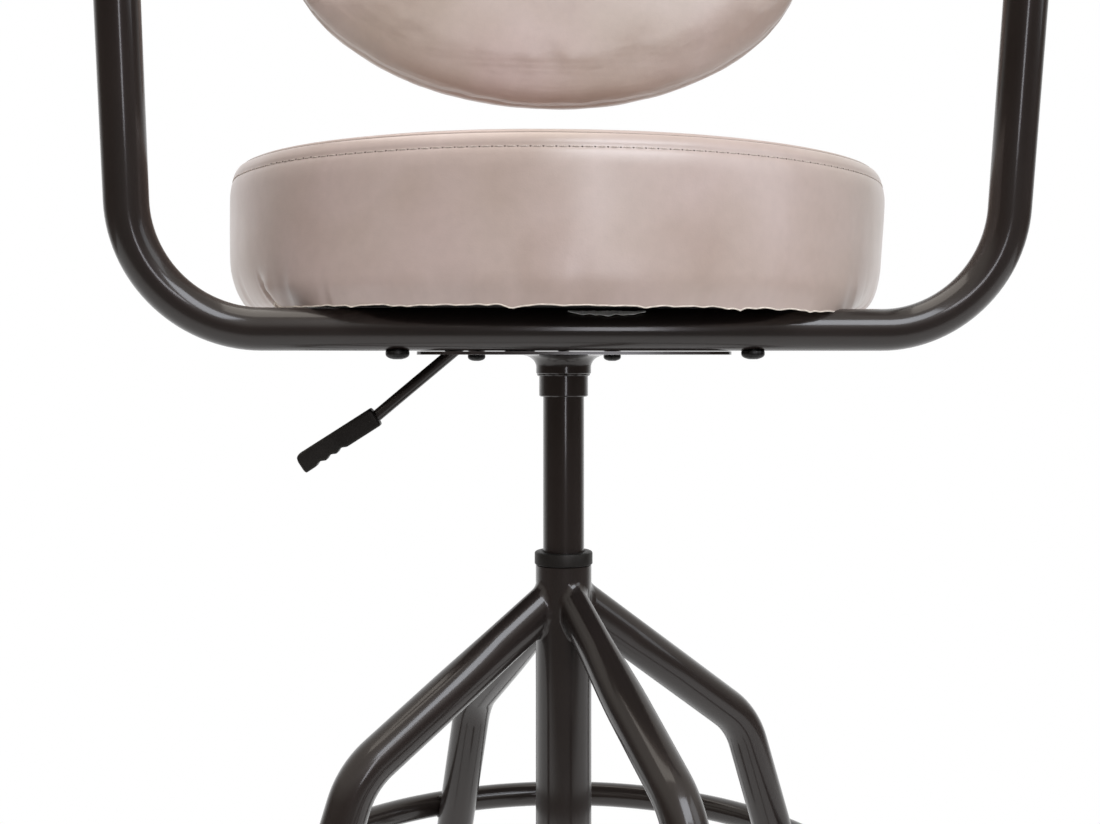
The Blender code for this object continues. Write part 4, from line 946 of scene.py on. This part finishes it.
def build_seat():
    profile = seat_profile()

    def ripple(index, angle):
        """The hem's hang and dips, the side's soft waves, and the pleat at the hem's left end."""
        height = profile[index][2]
        if index == 0:
            return 0.0, 0.0
        front = smooth_step(-sin(angle), *(HEM_LEFT_START if cos(angle) < 0 else HEM_RIGHT_START))
        low = 1 - smooth_step(height, 0.0, 0.014)
        lumps = max(0.0, wave(angle, 1.0, 10.0)) * 0.0008 + wave(angle, 3.0, 30.0) * 0.0004
        hang = lumps - 0.0004 + front * (0.00215 + 0.0016 * cos(angle))
        for place_deg, depth, width in HEM_DIPS:
            hang += depth * exp(-abs(SEAT_R * (angle - radians(place_deg)) / width) ** 1.4)
        if index < 3:
            hang = 0.0
        lean = -SEAT_LEAN * SEAT_R * cos(angle) * smooth_step(height, 0.04, SEAT_SEAM_H)
        out = (1 - low) * wave(angle, 8.0, 2.2) * 0.0005
        soft = 0.03 * smooth_step(height, 0.010, 0.020)
        front *= 1 - smooth_step(-cos(angle), 0.846 - soft, 0.860 + soft)
        out += front * inset_cut(index)
        out -= smooth_step(-cos(angle), 0.70, 0.95) * (1 - smooth_step(height, 0.0, 0.045)) ** 1.5 * 0.0028
        out -= smooth_step(cos(angle), 0.70, 1.0) * (1 - smooth_step(height, 0.012, 0.085)) * 0.0036
        out -= max(0.0, wave(angle, 5.0, 16.0)) * 0.0010 * (1 - smooth_step(height, 0.004, 0.030))
        if height < PLEAT_TOP_H:
            across = SEAT_R * (angle - radians(PLEAT_DEG - PLEAT_SLANT * height))
            ridge = 0.0016 * exp(-(across / 0.0020) ** 2)
            valley = 0.0030 * exp(-((across - 0.0048) / 0.0034) ** 2)
            out += (ridge - valley) * (1 - smooth_step(height, 0.009, PLEAT_TOP_H))
            hang -= 0.0048 * exp(-((across - 0.0070) / 0.0060) ** 2)
        return out, lean - low * hang

    def inset_cut(index):
        """How much nearer to upright the fabric hangs at the front, where it is pulled tight."""
        scale, inset, height = profile[index]
        if scale < 1.0 or height > 0.032 or inset > 0.0140:
            return 0.0
        return inset - 0.0062 * (1 - smooth_step(height, -0.006, 0.014))

    def pinned(point):
        ring = hypot(point.x, point.y)
        near_seam = abs(ring - SEAT_SEAM_R) < 0.007 and point.z > SEAT_ROLL_H
        return 1.0 if point.z < 0.010 or near_seam else 0.0

    def groove(index, point):
        """Presses in the seam and the row of stitches, and puffs the band between them."""
        ring = hypot(point.x, point.y)
        if point.z < SEAT_ROLL_H or ring < 0.20:
            return Vector()
        out = Vector((point.x / ring, point.y / ring, 0.7)).normalized()
        scale, _, height = profile[index]
        to_seam = (height - SEAT_SEAM_H) if scale == 1.0 else scale * SEAT_R - SEAT_SEAM_R
        seam = exp(-(to_seam / 0.0009) ** 2) * 0.0011
        stitch = exp(-((height - SEAT_STITCH_H) / 0.0012) ** 2) * 0.0006 if scale == 1.0 else 0.0
        band = 0.0
        if scale == 1.0 and SEAT_STITCH_H < height < SEAT_SEAM_H:
            band = sin(pi * (height - SEAT_STITCH_H) / (SEAT_SEAM_H - SEAT_STITCH_H)) * 0.0004
        return out * (band - seam - stitch)

    place = Matrix.Translation((0, SEAT_Y, HEM_Z))
    rings, surface = build_cushion("seat_cushion", (SEAT_R, SEAT_R, 900), profile, place, ripple, groove,
                                   SEAT_LEATHER, ("seat_cover", "seat_foam"), 0.0016, pinned)
    # A thin pale line along the hem's lower edge.
    edge = [place @ (point + Vector((0, 0, -0.0001))) for point in rings[3]]
    swept("seat_pale_hem_edge", edge, 0.00048, PALE_HEM_LINE, "seat_unit", sides=6, closed=True)

    def leaning_circle(radius, height, count):
        return [Vector((radius * cos(a), radius * sin(a), height - SEAT_LEAN * radius * cos(a)))
                for a in angles(count)]

    stitch_line("seat_topstitch", surface, leaning_circle(SEAT_STITCH_R, SEAT_STITCH_H, 360),
                0.0072, 0.74, 0.00048, place)
    path = []
    for point in leaning_circle(SEAT_SEAM_R, SEAT_SEAM_H, 240):
        found, normal, _, _ = surface.find_nearest(point)
        path.append(place @ (found - normal * 0.00012))
    swept("seat_seam", path, 0.00036, CREASE, "seat_unit", sides=6, closed=True)


def build_lining():
    """The black lining under the seat: thin and flat, between its tacked edge and the tube."""
    radii = [0.0, 0.05, 0.10, 0.15, 0.19, LINING_R]
    profile = [(r, LINING_TOP_Z) for r in radii] + [(r, LINING_BOTTOM_Z) for r in reversed(radii)]
    piece = lathe("underside_lining", profile, LINING, "seat_unit", 96,
                  Matrix.Translation((0, SEAT_Y, 0)))
    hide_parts("seat_lining")


def build_wadding():
    """The crumpled end of grey wadding that hangs out over the arm tube under the seat's front."""
    bm = bmesh.new()
    left, right, columns, rows = -0.006, 0.041, 30, 7
    sheets = []
    for skin in (0.0, 0.0004):
        grid = []
        for t in steps_to(1.0, columns):
            x = left + (right - left) * t
            uneven = 0.75 + 0.5 * noise.noise(Vector((t * 9, 2.0, 0.0)))
            hang = 0.0038 * sin(pi * t) ** 0.6 * uneven + 0.0004
            line = []
            for d in steps_to(hang, rows):
                crumple = noise.noise(Vector((x * 260, d * 420, 5.0))) * 0.0007
                a = 0.55 + (0.0018 + d) / ARM_TUBE_R
                r = ARM_TUBE_R + 0.0009 + abs(crumple) + skin
                line.append(bm.verts.new((x + crumple, ARM_FRONT_Y - r * sin(a), ARM_TUBE_Z + r * cos(a))))
            grid.append(line)
        sheets.append(grid)
    for grid in sheets:
        for i in range(columns):
            for j in range(rows):
                bm.faces.new((grid[i][j], grid[i + 1][j], grid[i + 1][j + 1], grid[i][j + 1]))
    inner, outer = sheets
    rim = [(i, 0) for i in range(columns)] + [(columns, j) for j in range(rows)]
    rim += [(i, rows) for i in range(columns, 0, -1)] + [(0, j) for j in range(rows, 0, -1)]
    for (i, j), (k, m) in zip(rim, rim[1:] + rim[:1]):
        bm.faces.new((inner[i][j], inner[k][m], outer[k][m], outer[i][j]))
    finished("loose_wadding", bm, GREY_CLOTH, "seat_unit", 60.0)


def back_profile():
    """As the seat's, but the side rolls smoothly into a domed face; the seam lies halfway up the side."""
    points = [(0.0, 0.0, 0.0006), (1.0, 0.018, 0.0006), (1.0, 0.012, 0.0002)]
    base_inset, corner_h, roll_h = 0.006, 0.013, 0.020
    points += [(1.0, base_inset * (1 - sin(a)), corner_h * (1 - cos(a))) for a in steps_to(pi / 2, 8)]
    points += [(1.0, 0.0, corner_h + up) for up in steps_to(roll_h - corner_h, 4, 1)]
    rings = 60
    for i in range(1, rings + 1):
        s = cos(pi / 2 * i / rings) ** 0.45
        rise = 0.0170 * sqrt(1 - s ** 16) + 0.0122 * (1 - s * s)
        points.append((s if i < rings else 0.0, 0.0, roll_h + rise))
    return points


def build_back():
    profile = back_profile()

    def ripple(index, angle):
        height = profile[index][2]
        if index == 0:
            return 0.0, 0.0
        low = 1 - smooth_step(height, 0.0, 0.012)
        return low * wave(angle, 15.0, 14.0) * 0.0006 + (1 - low) * wave(angle, 18.0, 2.0) * 0.0006, 0.0

    def pinned(point):
        return 1.0 if point.z < 0.008 else 0.0

    def groove(index, point):
        scale, _, height = profile[index]
        if scale < 1.0 or height < 0.004:
            return Vector()
        out = Vector((point.x / BACK_HALF_X ** 2, point.y / BACK_HALF_Z ** 2, 0)).normalized()
        return out * -exp(-((height - 0.0150) / 0.0009) ** 2) * 0.0008

    place = back_frame() @ Matrix.Translation((0.003, BACK_RISE, BACK_HEM_H))
    build_cushion("back_cushion", (BACK_HALF_X, BACK_HALF_Z, 256), profile, place, ripple, groove,
                  BACK_LEATHER, ("back_cover", "back_foam"), 0.0030, pinned)


# Camera, light and floor

def build_camera():
    data = bpy.data.cameras.new("camera")
    data.sensor_width = 36.0
    data.lens = FOCAL_PX / IMAGE_WIDTH * data.sensor_width
    data.shift_x = -(CENTRE_X_PX - IMAGE_WIDTH / 2) / IMAGE_WIDTH
    data.shift_y = -(IMAGE_HEIGHT / 2 - CENTRE_Y_PX) / IMAGE_WIDTH
    camera = linked("camera", data)
    camera.location = (-CAMERA_DISTANCE * sin(CAMERA_YAW), -CAMERA_DISTANCE * cos(CAMERA_YAW), CAMERA_Z)
    camera.rotation_euler = (pi / 2, 0, -CAMERA_YAW)
    bpy.context.scene.camera = camera


def area_light(name, location, target, width, height, power, colour):
    data = bpy.data.lights.new(name, "AREA")
    data.shape = "RECTANGLE"
    data.size, data.size_y = width, height
    data.energy = power
    data.color = colour
    light = linked(name, data)
    light.location = location
    light.rotation_euler = (Vector(target) - Vector(location)).to_track_quat("-Z", "Y").to_euler()


def build_world():
    """A room dark and warm at eye level, pale from above, and white behind and to the camera."""
    world = bpy.data.worlds.new("studio")
    room = Shading(world)
    place = room.add("SeparateXYZ", room.add("TexCoord").outputs["Generated"]).outputs
    dim = room.ramp(room.span(place["Z"], 0.08, 0.42),
                    (0.0, (0.11, 0.086, 0.074)), (1.0, (0.70, 0.665, 0.615)))
    white = room.add("RGB").outputs[0]
    white.default_value = (1, 1, 1, 1)
    share = room.white_share(room.span(place["Y"], 0.25, 0.85))
    background = room.nodes["Background"]
    room.links.new(room.mix(share, dim, white), background.inputs["Color"])
    background.inputs["Strength"].default_value = 1.0
    bpy.context.scene.world = world


def build_studio():
    bm = bmesh.new()
    half, front, back, rise, bend = 2.3, -4.0, 2.6, 3.6, 0.8
    outline = [(front, 0.0), (back - bend, 0.0)]
    outline += [(back - bend + bend * sin(a), bend * (1 - cos(a))) for a in steps_to(pi / 2, 12, 1)]
    outline.append((back, rise))
    left = [bm.verts.new((-half, y, z)) for y, z in outline]
    right = [bm.verts.new((half, y, z)) for y, z in outline]
    for i in range(len(outline) - 1):
        bm.faces.new((left[i], left[i + 1], right[i + 1], right[i]))
    mesh = mesh_from("studio_sweep", bm)
    mesh.shade_smooth()
    mesh.materials.append(sweep_material())
    sweep = linked("studio_sweep", mesh)
    build_world()
    for lamp in LAMPS:
        area_light(*lamp)
    view = bpy.context.scene.view_settings
    view.view_transform = "Standard"
    view.look = "None"
    view.exposure = 0.0
    view.gamma = 1.0


def dress_cad_nodes():
    """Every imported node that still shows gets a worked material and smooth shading."""
    slots = {part["node"]: part["material_slot"] for part in frame["record"]["subparts"]}
    for name, node in frame["nodes"].items():
        node.data.materials.clear()
        node.data.materials.append(NODE_MATERIALS[slots[name]])
        node.data.shade_smooth()
        node.data.set_sharp_from_angle(angle=radians(SHARP_DEG))


build_camera()
build_studio()
dress_cad_nodes()
build_base()
build_lift()
build_arms()
build_screws()
build_lever()
build_seat()
build_lining()
build_wadding()
build_back()
